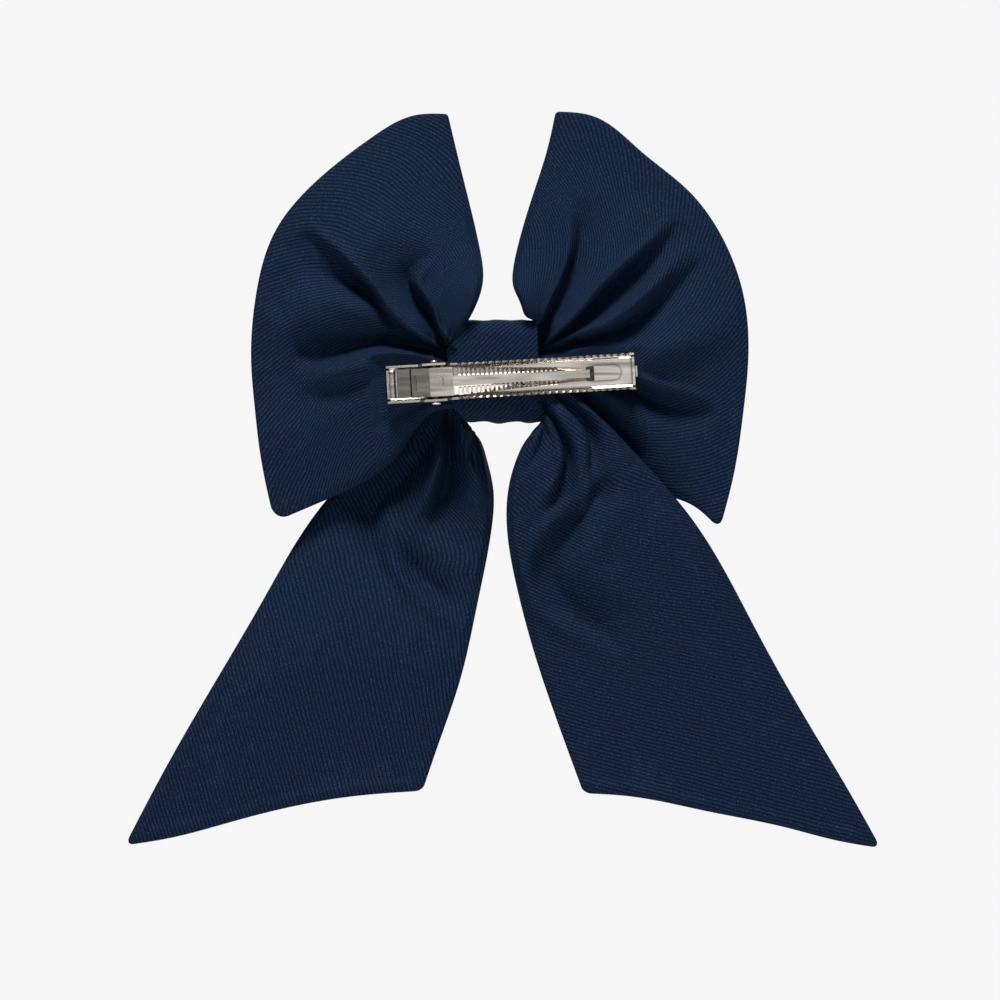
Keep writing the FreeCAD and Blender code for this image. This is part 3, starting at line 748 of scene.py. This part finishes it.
    def stitches(self) -> bpy.types.Object:
        """Makes the seam's stitches, hides the imported seam thread and logs the stitches' size.

        Returns:
            The stitches as one object.
        """
        line = self.seam_line()
        run = np.concatenate(([0.0], np.cumsum(np.linalg.norm(np.diff(line, axis=0), axis=1))))
        points, faces = [], []
        for start in np.arange(0.0, run[-1] - self.stitch, self.stitch):
            at = np.linspace(start, start + STITCH_SHARE * self.stitch, STITCH_RINGS)
            thread = np.stack([np.interp(at, run, line[:, k]) for k in range(3)], axis=-1)
            more_points, more_faces = stitch_tube(thread, self.thread, len(points))
            points += more_points
            faces += more_faces
        mesh = bpy.data.meshes.new(f"{self.name}_stitches")
        mesh.from_pydata((np.array(points) * MM).tolist(), [], faces)
        piece = closed_object(f"{self.name}_stitches", mesh)
        mesh.materials.append(NavyThread().material())
        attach(piece, "root")
        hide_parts(f"{self.name}_seam_thread")
        log.info("%s: %d points", piece.name, len(mesh.vertices))
        return piece

    def right_side(self, side: Side, s: Array, t: Array, edge: Array, flat: Array) -> Array:
        """Shapes the side of a layer that shows: puffed, pleated, folded, and rolled in at its edge.

        Args:
            side: which layer.
            s: shares of the bag's length.
            t: shares of its width.
            edge: each point's distance from the edge.
            flat: the points in the bow's plane.

        Returns:
            The grid of points.
        """
        middle = self.middle(s, t)
        inside = ease(edge / 3.0)
        rolled = self.roll * np.sqrt(np.maximum(0.0, 1 - (1 - np.minimum(edge / self.roll, 1.0)) ** 2))
        under = self.ridge * (1 - ease((edge - self.allowance + 0.25) / 0.5)) * inside
        sink = sum(fold.height(flat) for fold in self.folds[side])
        puff = self.half(s, t) + self.pleated(s, t, self.seed + side.value) - sink
        puff = np.maximum(puff * inside, -0.2 * self.roll * inside) + rolled + under
        depth = middle + side.value * puff
        if side is Side.BACK:
            depth = self.pressed(depth, flat)
        return np.stack((flat[..., 0], depth, flat[..., 1]), axis=-1)

    def wrong_side(self, side: Side, outer: Array, middle: Array) -> Array:
        """Shapes the side of a layer that faces into the bag, a cloth's thickness in.

        Args:
            side: which layer.
            outer: the side that shows.
            middle: depth of the surface between the layers, which it stays clear of.

        Returns:
            The grid of points.
        """
        normal = normals_of(outer)
        normal *= np.where(normal[..., 1:2] * side.value > 0, 1.0, -1.0)
        inner = outer - normal * self.cloth
        limit = middle + side.value * 0.02
        inner[..., 1] = np.where((inner[..., 1] - limit) * side.value < 0, limit, inner[..., 1])
        return inner

    def unfolded(self, flat: Array, outer: Array) -> Array:
        """Lays the weave on a layer, with more of it wherever a fold takes cloth up.

        Args:
            flat: the points in the bow's plane.
            outer: the points of the side that shows.

        Returns:
            Each point's place on the flat cloth.
        """
        uv = self.on_cloth(flat)
        around = np.linalg.norm(np.diff(outer, axis=1), axis=2)
        around = around - np.linalg.norm(np.diff(flat, axis=1), axis=2)
        taken = np.concatenate((np.zeros((flat.shape[0], 1)), np.cumsum(around, axis=1)), axis=1)
        uv[..., 1] += self.turn * self.take_up * (taken - taken[:, flat.shape[1] // 2][:, None])
        return uv

    def build(self) -> dict[Side, bpy.types.Object]:
        """Makes both layers, hides the imported layers and logs each one's size.

        Returns:
            The layers' objects.
        """
        s, t, edge = self.lines()
        flat = self.place(s, t)
        middle = self.middle(s, t)
        made = {}
        for side in Side:
            outer = self.right_side(side, s, t, edge, flat)
            inner = self.wrong_side(side, outer, middle)
            node = f"{self.name}_{side.name.lower()}_layer"
            piece = cloth_object(f"{node}_cloth", outer, inner, self.unfolded(flat, outer))
            piece.data.materials.append(NavyTwill(self.slant * -side.value).material())
            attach(piece, "root")
            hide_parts(node)
            log.info("%s: %d points", piece.name, len(piece.data.vertices))
            made[side] = piece
        return made


@dataclass
class Wing(Bag):
    """One of the bow's two loops."""

    depth: float = 7.5
    crown: float = 6.6
    lean: float = 0.0
    gather_shift: float = 0.0
    gather_puff: float = 2.2
    lip: float = 6.4            # how far its upper edge curls over the knot band's back
    lip_at: float = 0.34        # where on the edge it does so most
    lip_long: float = 0.16
    lip_wide: float = 0.16
    wave: float = 0.9           # how far its hem waves in and out
    reach: float = 50.0
    axis: float = 167.0         # degrees that its middle points to

    def middle(self, s: Array, t: Array) -> Array:
        """Leans it at its lower edge, waves its hem, and curls it over the band beside the knot.

        Args:
            s: shares of the bag's length.
            t: shares of its width.

        Returns:
            The depth between the layers.
        """
        wave = self.wave * np.sin(2 * math.pi * (1.4 * t + 0.13 * self.seed)) * s ** 2 * ease((1 - s) / 0.16)
        lean = self.lean * t * t * np.sin(math.pi * np.minimum(1.0, s))
        lip = self.lip * np.exp(-((s - self.lip_at) / self.lip_long) ** 2) * np.exp(-(t / self.lip_wide) ** 2)
        return self.depth + lean + wave + self.gather_shift * np.exp(-(s / 0.22) ** 2) - lip

    def half(self, s: Array, t: Array) -> Array:
        """Puffs it most just outside the knot and thins it towards the hem.

        Args:
            s: shares of the bag's length.
            t: shares of its width.

        Returns:
            How far each layer stands out.
        """
        along = np.clip((s - 0.1) / 0.9, 0.0, 1.0)
        crown = self.crown * np.sin(math.pi * along ** 0.62) ** 1.3
        gathered = self.gather_puff * np.exp(-((s - 0.08) / 0.14) ** 2)
        return (crown + gathered) * np.sin(math.pi * t) ** 0.6

    def on_cloth(self, flat: Array) -> Array:
        """Runs the warp out from the knot, near which the gather draws the cloth together.

        Args:
            flat: the points in the bow's plane.

        Returns:
            Each point's place on the flat cloth.
        """
        out = np.maximum(np.hypot(flat[..., 0], flat[..., 1]), 2.0)
        middle = math.radians(self.axis)
        turned = (np.arctan2(flat[..., 1], flat[..., 0]) - middle + math.pi) % (2 * math.pi) - math.pi
        return np.stack((out, turned * self.reach * (out / self.reach) ** 0.2), axis=-1)


@dataclass
class Tail(Bag):
    """One of the two tails, with a slanting end."""

    depths: tuple[float, float, float] = (7.0, 7.0, 7.0)
    crown: float = 3.3
    gather_puff: float = 2.8
    ridge: float = 0.42
    wave: float = 0.8           # how far it waves along its length
    axis: float = 240.0         # degrees that it points to

    def middle(self, s: Array, t: Array) -> Array:
        """Takes it out of the knot, past its wing's lower edge, and back towards the bow's plane.

        Args:
            s: shares of the bag's length.
            t: shares of its width.

        Returns:
            The depth between the layers.
        """
        start, past, end = self.depths
        away, back = ease((s - 0.05) / 0.11), ease((s - 0.22) / 0.5)
        wave = self.wave * np.sin(2 * math.pi * (0.9 * t + 0.6 * s + 0.21 * self.seed))
        wave = wave * ease((s - 0.3) / 0.5)
        wave *= ease((1 - s) / 0.1) * np.sin(math.pi * t)
        return start + (past - start) * away + (end - past) * back + wave

    def half(self, s: Array, t: Array) -> Array:
        """Fills it out below the knot and flattens it towards its end.

        Args:
            s: shares of the bag's length.
            t: shares of its width.

        Returns:
            How far each layer stands out.
        """
        along = np.clip((s - 0.1) / 0.9, 0.0, 1.0)
        crown = self.crown * np.sin(math.pi * along ** 0.6) ** 1.5
        gathered = self.gather_puff * np.exp(-((s - 0.12) / 0.13) ** 2)
        return (crown + gathered) * np.sin(math.pi * t) ** 0.5

    def on_cloth(self, flat: Array) -> Array:
        """Runs the warp along the tail, and swings it towards the knot at the top.

        Args:
            flat: the points in the bow's plane.

        Returns:
            Each point's place on the flat cloth.
        """
        axis = math.radians(self.axis)
        swing = 0.5 * self.turn * np.exp(-(np.hypot(flat[..., 0], flat[..., 1]) / 42.0) ** 2)
        along = flat[..., 0] * math.cos(axis) + flat[..., 1] * math.sin(axis)
        beside = flat[..., 1] * math.cos(axis) - flat[..., 0] * math.sin(axis)
        return np.stack((along - swing * beside, beside + swing * along), axis=-1)


def left_wing() -> Wing:
    """The loop on the left, whose folds run out of the knot and up to its rounded hem.

    Returns:
        The loop, ready to build.
    """
    back = (
        Fold(((-9.6, 3.2), (-10.9, 5.6), (-12.9, 8.6), (-14.6, 12.4), (-16.8, 15.0), (-18.4, 18.0),
              (-16.6, 21.6), (-13.6, 23.8)),
             (2.4, 4.6, 5.6, 6.0, 5.4, 4.4, 2.2, 0.0), (0.8, 1.4, 2.4, 3.2, 2.6), 0.68, 0.25, 0.4),
        Fold(((-9.6, 2.7), (-13.8, 4.9), (-18.8, 8.0), (-22.8, 11.6), (-25.8, 15.2), (-29.6, 18.8),
              (-34.0, 22.6), (-41.0, 28.0)),
             (2.0, 4.8, 6.2, 7.2, 7.6, 6.4, 3.2, 0.0), (0.9, 1.7, 2.8, 4.0, 4.6), 0.7, 0.25, 0.4),
        Fold(((-9.4, 2.2), (-11.9, 3.2), (-16.7, 4.8), (-22.6, 5.7), (-28.5, 5.3), (-35.3, 4.6),
              (-42.0, 3.0)),
             (1.8, 4.4, 6.2, 7.4, 8.0, 6.0, 0.0), (0.9, 1.7, 2.7, 3.6, 4.4), -0.3, 0.3, 0.5),
        Fold(((-34.0, 18.0), (-41.0, 17.0), (-46.0, 11.0)), (0.0, 1.5, 0.0), (3.6, 4.2), 0.3),
        Fold(((-26.0, -1.0), (-36.0, -4.0), (-44.0, -10.0)), (0.0, 1.6, 0.0), (3.8, 4.4), -0.3),
        Fold(((-9.0, -3.5), (-16.0, -6.5), (-24.0, -10.5), (-31.0, -15.0)),
             (1.4, 1.6, 0.9, 0.0), (1.4, 2.2, 3.4)),
    )
    front = (
        Fold(((-8.5, 3.5), (-15.0, 12.0), (-22.0, 22.0), (-27.0, 31.0)),
             (1.8, 3.4, 1.8, 0.0), (1.2, 2.4, 3.6), 0.3),
        Fold(((-8.5, 1.0), (-18.0, 4.4), (-28.0, 8.0), (-38.0, 10.0)),
             (1.7, 3.6, 2.0, 0.0), (1.3, 2.4, 3.8), -0.3),
        Fold(((-8.5, -2.0), (-17.0, -5.6), (-27.0, -10.5), (-36.0, -15.5)),
             (1.4, 2.6, 1.2, 0.0), (1.2, 2.2, 3.4), 0.3),
    )
    return Wing(
        name="wing_left", gather=((-0.1, 7.0), (-0.1, 0.0), (-0.1, -7.0)),
        near=((-5.0, 6.4), (-8.8, 5.2), (-9.9, 5.0), (-9.2, 6.2), (-7.6, 8.2), (-6.2, 10.4), (-4.6, 13.6),
              (-3.4, 18.0), (-3.9, 24.0), (-7.2, 38.2), (-10.5, 51.9)),
        far=((-7.0, -7.3), (-13.4, -8.2), (-19.8, -16.0), (-27.5, -22.2), (-36.2, -26.3), (-45.4, -30.2)),
        hem=((-10.5, 51.9), (-17.4, 51.6), (-25.8, 47.2), (-37.2, 38.2), (-45.2, 28.4), (-49.2, 15.0),
             (-50.1, 2.0), (-49.4, -7.0), (-48.2, -17.0), (-45.4, -30.2)),
        flat=(45.0, 98.0), cut_area=3600.0, slant=42.0, folds={Side.BACK: back, Side.FRONT: front},
        rows=100, columns=150, corners=(0.6, 3.4), lean=-1.2, gather_shift=-0.8, axis=167.0, turn=1, seed=3)


def right_wing() -> Wing:
    """The loop on the right, with a notch beside the knot and steeper folds.

    Returns:
        The loop, ready to build.
    """
    back = (
        Fold(((8.2, 6.4), (8.6, 9.0), (7.8, 11.4)), (4.2, 5.0, 0.0), (1.0, 1.2)),
        Fold(((8.0, 5.0), (9.0, 9.0), (11.2, 14.2), (14.2, 20.0), (16.0, 26.8), (16.0, 35.0)),
             (2.4, 4.6, 4.4, 3.8, 2.2, 0.0), (0.9, 1.5, 2.4, 3.6), -0.6, 0.25, 0.4),
        Fold(((8.0, 4.2), (11.4, 6.8), (17.0, 11.8), (21.5, 16.4), (26.1, 20.2), (32.9, 26.0),
              (37.0, 31.0)),
             (2.2, 5.0, 6.2, 5.8, 4.4, 2.2, 0.0), (0.9, 1.5, 2.4, 3.2, 3.8), -0.66, 0.25, 0.4),
        Fold(((8.6, 3.4), (13.0, 5.2), (21.5, 7.8), (28.3, 11.3), (35.1, 16.9), (42.0, 23.6)),
             (2.0, 5.4, 6.8, 6.4, 3.4, 0.0), (0.9, 1.8, 3.2, 4.4), -0.5, 0.25, 0.45),
        Fold(((16.0, -1.5), (24.0, -2.0), (30.0, -4.4), (37.0, -7.0), (44.0, -9.4)),
             (2.0, 5.6, 5.4, 2.6, 0.0), (1.6, 2.4, 3.6), -0.55, 0.25),
        Fold(((9.0, -3.2), (16.0, -6.4), (22.0, -10.8), (30.0, -18.6)),
             (2.0, 4.4, 3.8, 0.0), (1.2, 2.4, 3.4)),
    )
    front = (
        Fold(((8.0, 3.0), (14.0, 12.0), (21.0, 23.0), (27.0, 33.0)),
             (1.8, 3.4, 1.8, 0.0), (1.2, 2.4, 3.6), -0.3),
        Fold(((8.5, 1.2), (18.0, 5.0), (29.0, 7.0), (39.0, 11.0)),
             (1.7, 3.6, 2.0, 0.0), (1.3, 2.4, 3.8), 0.3),
        Fold(((8.5, -2.2), (18.0, -6.6), (28.0, -12.5), (37.0, -18.0)),
             (1.4, 2.6, 1.2, 0.0), (1.2, 2.2, 3.4)),
    )
    return Wing(
        name="wing_right", gather=((0.1, 7.0), (0.1, 0.0), (0.1, -7.0)),
        near=((4.8, 7.6), (6.9, 8.4), (7.2, 9.4), (6.7, 10.2), (5.4, 10.8), (4.2, 13.2), (2.6, 17.2),
              (2.6, 20.4), (3.6, 25.4), (6.8, 36.2), (9.4, 44.4), (11.2, 52.4)),
        far=((8.8, -7.3), (13.4, -8.4), (20.6, -16.8), (31.0, -24.2), (38.6, -26.8), (44.2, -31.8)),
        hem=((11.2, 52.4), (19.0, 51.4), (28.4, 44.4), (38.2, 36.2), (45.2, 26.2), (48.9, 16.0),
             (50.0, 3.0), (49.0, -8.0), (47.2, -20.0), (44.2, -31.8)),
        flat=(45.0, 98.0), cut_area=3600.0, slant=44.0, folds={Side.BACK: back, Side.FRONT: front},
        rows=100, columns=150, corners=(0.8, 2.4), lean=2.6, gather_shift=0.9, lip_at=0.26, lip_long=0.12,
        axis=13.0, turn=-1, seed=8)


def left_tail() -> Tail:
    """The tail on the left, on the worn side of its loop's lower edge.

    Returns:
        The tail, ready to build.
    """
    back = (
        Fold(((-10.0, -5.0), (-13.0, -10.4), (-17.2, -15.8), (-22.6, -22.6), (-29.0, -30.0)),
             (4.4, 7.0, 7.4, 4.6, 0.0), (1.5, 2.8, 3.6, 4.4), 0.0, 0.25, 0.4),
        Fold(((-9.6, -6.0), (-10.2, -9.5), (-10.3, -14.0), (-10.8, -20.0), (-13.6, -31.0)),
             (3.4, 5.8, 6.2, 4.4, 0.0), (0.8, 1.4, 2.2, 3.4), 0.5, 0.25, 0.6),
        Fold(((-7.4, -7.6), (-7.0, -10.0), (-6.4, -12.0)), (3.0, 2.4, 0.0), (0.8, 1.0)),
        Fold(((-5.4, -12.4), (-5.6, -16.8), (-3.9, -20.6)), (0.8, 2.0, 0.0), (0.8, 1.2), 0.4),
        Fold(((-24.6, -18.0), (-26.0, -28.0), (-25.4, -36.0), (-21.0, -46.0)),
             (0.0, 2.6, 2.0, 0.0), (2.2, 3.4), -0.35),
        Fold(((-22.0, -33.0), (-17.0, -40.4), (-11.6, -45.4), (-6.0, -49.0)),
             (0.0, 3.0, 2.6, 0.0), (2.0, 2.8), 0.4),
    )
    front = (
        Fold(((-8.4, -4.5), (-16.0, -17.0), (-25.0, -34.0)), (1.2, 1.2, 0.0), (1.3, 3.0)),
        Fold(((-9.4, -6.5), (-9.0, -20.0), (-12.0, -40.0)), (1.1, 1.0, 0.0), (1.2, 2.8)),
    )
    return Tail(
        name="tail_left", gather=((-0.1, -6.0), (-0.1, -2.0), (-0.1, 2.0)),
        near=((-6.3, -7.9), (-6.8, -10.4), (-4.8, -12.6), (-2.8, -17.0), (-1.3, -24.0), (-1.6, -31.0),
              (-4.6, -47.0), (-8.0, -62.0), (-12.4, -75.0), (-15.6, -84.4)),
        far=((-7.6, -1.0), (-18.0, -9.6), (-30.0, -20.2), (-38.6, -30.4), (-47.6, -45.6), (-58.2, -63.8),
             (-66.4, -78.0), (-75.6, -95.4)),
        hem=((-15.6, -84.4), (-30.4, -85.6), (-53.2, -90.4), (-66.0, -93.8), (-75.6, -95.4)),
        flat=(52.0, 112.0), cut_area=4600.0, slant=47.0, folds={Side.BACK: back, Side.FRONT: front},
        rows=140, columns=84, corners=(1.6, 1.8), depths=(10.2, 14.6, 8.6), pleats=4, pleat_depth=0.6,
        axis=240.0,
        turn=-1, seed=12)


def right_tail() -> Tail:
    """The tail on the right, on the clip side of its loop's lower edge, so it shows whole from there.

    Returns:
        The tail, ready to build.
    """
    back = (
        Fold(((22.0, -21.0), (17.2, -27.0), (11.6, -33.4), (8.8, -40.0), (11.0, -45.4), (17.2, -49.4),
              (25.0, -56.4)),
             (0.6, 3.6, 4.2, 3.8, 3.2, 2.4, 0.0), (1.8, 2.8, 3.2), 0.35),
        Fold(((8.8, -6.4), (10.6, -10.2), (12.8, -14.4), (13.4, -19.0), (12.0, -24.0), (8.4, -30.0)),
             (3.0, 5.4, 5.6, 4.4, 2.4, 0.0), (0.7, 1.1, 1.7, 2.6), 0.45, 0.25, 0.5),
        Fold(((10.6, -4.2), (14.2, -8.0), (16.9, -11.4), (18.2, -15.8), (18.2, -21.0), (20.8, -28.0)),
             (3.0, 5.4, 5.6, 4.4, 2.4, 0.0), (0.7, 1.2, 1.9, 2.8), 0.45, 0.25, 0.5),
        Fold(((8.6, -8.0), (8.8, -11.6), (7.6, -16.0), (5.4, -20.6)),
             (2.4, 2.8, 1.6, 0.0), (0.7, 1.0, 1.4), 0.3),
    )
    front = (
        Fold(((9.0, -4.5), (16.0, -17.0), (25.0, -34.0)), (1.2, 1.2, 0.0), (1.3, 3.0)),
        Fold(((9.4, -6.5), (8.6, -20.0), (12.0, -40.0)), (1.1, 1.0, 0.0), (1.2, 2.8)),
    )
    return Tail(
        name="tail_right", gather=((0.1, -6.0), (0.1, -2.0), (0.1, 2.0)),
        near=((8.2, -7.7), (8.4, -10.2), (6.4, -12.4), (3.6, -16.8), (1.6, -24.0), (1.3, -30.0),
              (3.2, -42.6), (7.2, -57.6), (12.4, -72.8), (16.8, -84.8)),
        far=((9.2, -1.0), (17.4, -6.6), (28.8, -18.2), (38.4, -29.4), (51.0, -51.0), (61.4, -69.6),
             (70.8, -85.4), (76.6, -95.8)),
        hem=((16.8, -84.8), (26.0, -85.4), (41.6, -88.4), (57.2, -91.6), (68.2, -94.4), (76.6, -95.8)),
        flat=(52.0, 112.0), cut_area=4600.0, slant=45.0, folds={Side.BACK: back, Side.FRONT: front},
        rows=140, columns=84, corners=(1.6, 1.8), depths=(4.95, 3.1, 6.6), pleats=4, pleat_depth=0.6,
        axis=300.0,
        turn=1, seed=17)


@dataclass
class KnotBand:
    """The folded strip wrapped round the gather, soft at its turned edges and pleated over the front."""

    back: float = 2.0
    front: float = 14.2
    top: float = 10.5
    bottom: float = -10.3
    left_edge: tuple[Point, ...] = (        # height, and how far out the edge is there
        (-10.3, -7.1), (-7.0, -9.4), (-2.0, -10.4), (4.0, -10.8), (8.0, -9.4), (10.5, -7.4))
    right_edge: tuple[Point, ...] = ((-10.3, 8.9), (-4.0, 9.0), (0.0, 8.4), (4.0, 7.6), (10.5, 7.5))
    back_corner: float = 3.0
    front_corner: float = 5.6
    corner_steps: int = 12
    thick: float = 1.2
    around: int = 200
    across: int = 44
    slant: float = -46.0
    flatness: float = 0.22          # near 0 the strip's section is flat, and 1 is round
    pinch: float = 0.7              # how far the gather narrows it over the front
    back_pleat: float = 0.10
    front_pleat: float = 0.42       # and what its pleats gain over the front
    dimple: float = 0.06
    sunk: float = 0.12              # how far it keeps inside its path

    def ring(self) -> tuple[Array, Array]:
        """Draws the strip's outer path, square to X.

        Returns:
            Points (y, z) and the way out at each.
        """
        corners = ((self.back, self.bottom, self.back_corner, 180),
                   (self.front, self.bottom, self.front_corner, 270),
                   (self.front, self.top, self.front_corner, 0),
                   (self.back, self.top, self.back_corner, 90))
        points = []
        for y, z, r, start in corners:
            centre = np.array((y + r * (1 if y == self.back else -1),
                               z + r * (1 if z == self.bottom else -1)))
            for k in range(self.corner_steps + 1):
                turn = math.radians(start + 90 * k / self.corner_steps)
                points.append(centre + r * np.array((math.cos(turn), math.sin(turn))))
        loop = np.array(points + points[:1])
        steps = np.concatenate(([0.0], np.cumsum(np.linalg.norm(np.diff(loop, axis=0), axis=1))))
        even = np.linspace(0.0, steps[-1], self.around + 1)[:-1]
        path = np.stack([np.interp(even, steps, loop[:, k]) for k in range(2)], axis=-1)
        along = np.roll(path, -1, axis=0) - np.roll(path, 1, axis=0)
        out = np.stack((along[:, 1], -along[:, 0]), axis=-1)
        return path, out / np.linalg.norm(out, axis=1, keepdims=True)

    def surface(self, path: Array, out: Array) -> Array:
        """Carries the strip's section round its path, narrower and more deeply pleated over the front.

        Args:
            path: points (y, z) of the outer path.
            out: the way out at each.

        Returns:
            The grid of points, round the path and round the section.
        """
        turn = np.linspace(0.0, 2 * math.pi, 2 * self.across + 1)[:-1]
        x = np.sign(np.cos(turn)) * np.abs(np.cos(turn)) ** 0.9
        lift = np.sign(np.sin(turn)) * np.abs(np.sin(turn)) ** self.flatness
        height = path[:, 1]
        left, right = (np.interp(height, *np.array(edge).T) for edge in (self.left_edge, self.right_edge))
        frontness = ease((path[:, 0] - self.back - 3.0) / (self.front - self.back - 3.0))
        wide = (right - left) / 2 - self.pinch * frontness * np.exp(-(height / 6.0) ** 2)
        centre = (right + left) / 2
        share = np.arange(len(path)) / len(path)
        deep = self.back_pleat + self.front_pleat * frontness
        waver = 0.35 * np.sin(2 * math.pi * share * 2)
        points = np.zeros((len(path), len(turn), 3))
        for j in range(len(turn)):
            pleat = deep * np.cos(math.pi * (2.6 * x[j] + waver))
            pleat += self.dimple * np.sin(2 * math.pi * (3 * share + x[j]))
            pleat *= 1 - abs(x[j]) ** 3
            off = self.thick / 2 * (lift[j] - 1) + pleat - self.sunk
            points[:, j, 0] = centre + wide * x[j]
            points[:, j, 1:] = path + out * off[:, None]
        return points

    def sleeve(self, points: Array, length: float) -> bpy.types.Mesh:
        """Closes the grid into a sleeve with the weave running round it.

        Args:
            points: the grid, round the path and round the section.
            length: the way round the path.

        Returns:
            The mesh.
        """
        rows, count = points.shape[:2]
        faces = [(i * count + j, i * count + (j + 1) % count, ((i + 1) % rows) * count + (j + 1) % count,
                  ((i + 1) % rows) * count + j) for i in range(rows) for j in range(count)]
        mesh = bpy.data.meshes.new("knot_band_cloth")
        mesh.from_pydata((points.reshape(-1, 3) * MM).tolist(), [], faces)
        layer = mesh.uv_layers.new(name="cloth")
        for face, corners in enumerate(faces):
            i = face // count
            for k, (corner, up) in enumerate(zip(corners, (i, i, i + 1, i + 1))):
                uv = (up / rows * length * MM, points[corner // count, corner % count, 0] * MM)
                layer.data[face * 4 + k].uv = uv
        return mesh

    def build(self) -> bpy.types.Object:
        """Makes the strip as one closed sleeve, hides the imported band and logs its size.

        Returns:
            The strip's object.
        """
        path, out = self.ring()
        length = float(np.linalg.norm(np.diff(np.vstack((path, path[:1])), axis=0), axis=1).sum())
        mesh = self.sleeve(self.surface(path, out), length)
        piece = closed_object("knot_band_cloth", mesh)
        mesh.materials.append(NavyTwill(self.slant).material())
        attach(piece, "root")
        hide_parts("knot_band")
        log.info("%s: %d points", piece.name, len(mesh.vertices))
        return piece


@dataclass
class ClipAndThreads:
    """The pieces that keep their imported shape, each with its own finish."""

    finishes: dict[str, Any] = field(default_factory=lambda: {
        "clip_toothed_base": Metal("nickel_plated_steel", "D8D2CA", 0.12, 0.07),
        "clip_ribbed_prong": Metal("nickel_plated_steel", "DAD4CC", 0.1, 0.06),
        "clip_hinge_pin": Metal("nickel_plated_steel", "CFC9C1", 0.14, 0.08),
        "clip_leaf_spring": Metal("spring_steel", "8C8F94", 0.3, 0.2),
        "clip_glue_pad": HotMeltGlue(),
        "gathering_thread": NavyThread(),
        "band_stitches": NavyThread(),
    })

    def dress(self, nodes: dict[str, bpy.types.Object]) -> None:
        """Gives each of the clip's and threads' pieces its finish.

        Args:
            nodes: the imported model's objects by name.
        """
        for name, finish in self.finishes.items():
            piece = nodes[name]
            piece.data.materials.clear()
            piece.data.materials.append(finish.material())
            log.info("%s: %s", name, finish.name)


# ---------------------------------------------------------------- studio


@dataclass
class Studio:
    """A pale floor well below the hanging bow, soft boxes round it, and a long lens square to its back."""

    distance: float = 1.2
    view_width: float = 0.2
    sensor: float = 36.0
    height: float = -0.0258     # of the lens over the knot's middle
    aim: Place = (0.0, 0.0, -0.02)
    floor: float = -0.3
    floor_radius: float = 1.4
    gloom: float = 0.03
    glows: tuple[tuple[Place, float, float, float], ...] = (    # towards, start, full, strength
        ((0.0, -0.5, 0.85), 0.1, 1.0, 0.45),            # the ceiling over the table
        ((0.087, -1.0, 0.0), 0.9925, 0.9998, 1.0),      # a white card beside the lens
    )
    boxes: tuple[tuple[str, Place, float, float], ...] = (      # name, place, side, watts
        ("key", (-0.05, -0.55, 0.98), 0.3, 21.5),
        ("fill", (-0.25, -1.1, -0.25), 0.3, 2.0),
        ("rear", (0.3, 1.0, 0.7), 0.6, 16.0),
    )

    def camera(self) -> None:
        """Puts the camera square to the clip side."""
        data = bpy.data.cameras.new("camera")
        data.sensor_width = self.sensor
        data.lens = self.sensor * self.distance / self.view_width
        data.clip_start, data.clip_end = 0.01, 20.0
        made = bpy.data.objects.new("camera", data)
        made.location = (0.0, -self.distance, self.height)
        made.rotation_euler = (math.pi / 2, 0.0, 0.0)
        bpy.context.scene.collection.objects.link(made)
        bpy.context.scene.camera = made

    def soft_box(self, name: str, at: Place, size: float, power: float) -> None:
        """Stands one square light facing the bow.

        Args:
            name: the light's name.
            at: where it stands, in metres.
            size: its side.
            power: watts.
        """
        data = bpy.data.lights.new(name, "AREA")
        data.shape = "SQUARE"
        data.size, data.energy = size, power
        made = bpy.data.objects.new(name, data)
        made.location = at
        aim = Vector(self.aim) - Vector(at)
        made.rotation_euler = aim.to_track_quat("-Z", "Y").to_euler()
        bpy.context.scene.collection.objects.link(made)

    def room(self) -> None:
        """Lights the bow from all round, brighter from above, against a plain pale background."""
        world = bpy.data.worlds.new("studio")
        bpy.context.scene.world = world
        world.use_nodes = True
        tree = world.node_tree
        tree.nodes.clear()
        way = add_node(tree, "TexCoord").outputs["Generated"]
        glow = None
        for towards, start, full, strength in self.glows:
            facing = add_node(tree, "VectorMath", {0: way, 1: Vector(towards).normalized()},
                              operation="DOT_PRODUCT").outputs["Value"]
            part = add_node(tree, "MapRange", {"Value": facing, "From Min": start, "From Max": full,
                                               "To Max": strength},
                            interpolation_type="SMOOTHSTEP").outputs[0]
            glow = add_node(tree, "Math", {0: part, 1: self.gloom if glow is None else glow}).outputs[0]
        lit = add_node(tree, "Background", {"Color": (1.0, 1.0, 1.0, 1.0), "Strength": glow}).outputs[0]
        seen = add_node(tree, "Background", {"Color": linear("F6F6F6"), "Strength": 1.0}).outputs[0]
        direct = add_node(tree, "LightPath").outputs["Is Camera Ray"]
        both = add_node(tree, "MixShader", {0: direct, 1: lit, 2: seen}).outputs[0]
        add_node(tree, "OutputWorld", {"Surface": both})

    def paper(self) -> None:
        """Lays the floor."""
        bpy.ops.object.select_all(action="DESELECT")
        bpy.ops.mesh.primitive_circle_add(vertices=96, radius=self.floor_radius, fill_type="NGON",
                                          location=(0.0, 0.0, self.floor))
        bpy.ops.object.transform_apply(location=True)
        piece = bpy.context.object
        piece.name = "floor"
        piece.data.materials.append(PaleSeamlessPaper().material())

    def build(self) -> None:
        """Sets up the camera, the lights and the floor."""
        bpy.context.scene.view_settings.view_transform = "Standard"
        self.camera()
        self.room()
        for box in self.boxes:
            self.soft_box(*box)
        self.paper()


def main() -> None:
    """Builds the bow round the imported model."""
    logging.basicConfig(level=logging.INFO, format="%(message)s")
    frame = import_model()
    Studio().build()
    for bag in (left_wing(), right_wing(), left_tail(), right_tail()):
        bag.build()
        bag.stitches()
    KnotBand().build()
    ClipAndThreads().dress(frame["nodes"])


if __name__ == "__main__":
    main()
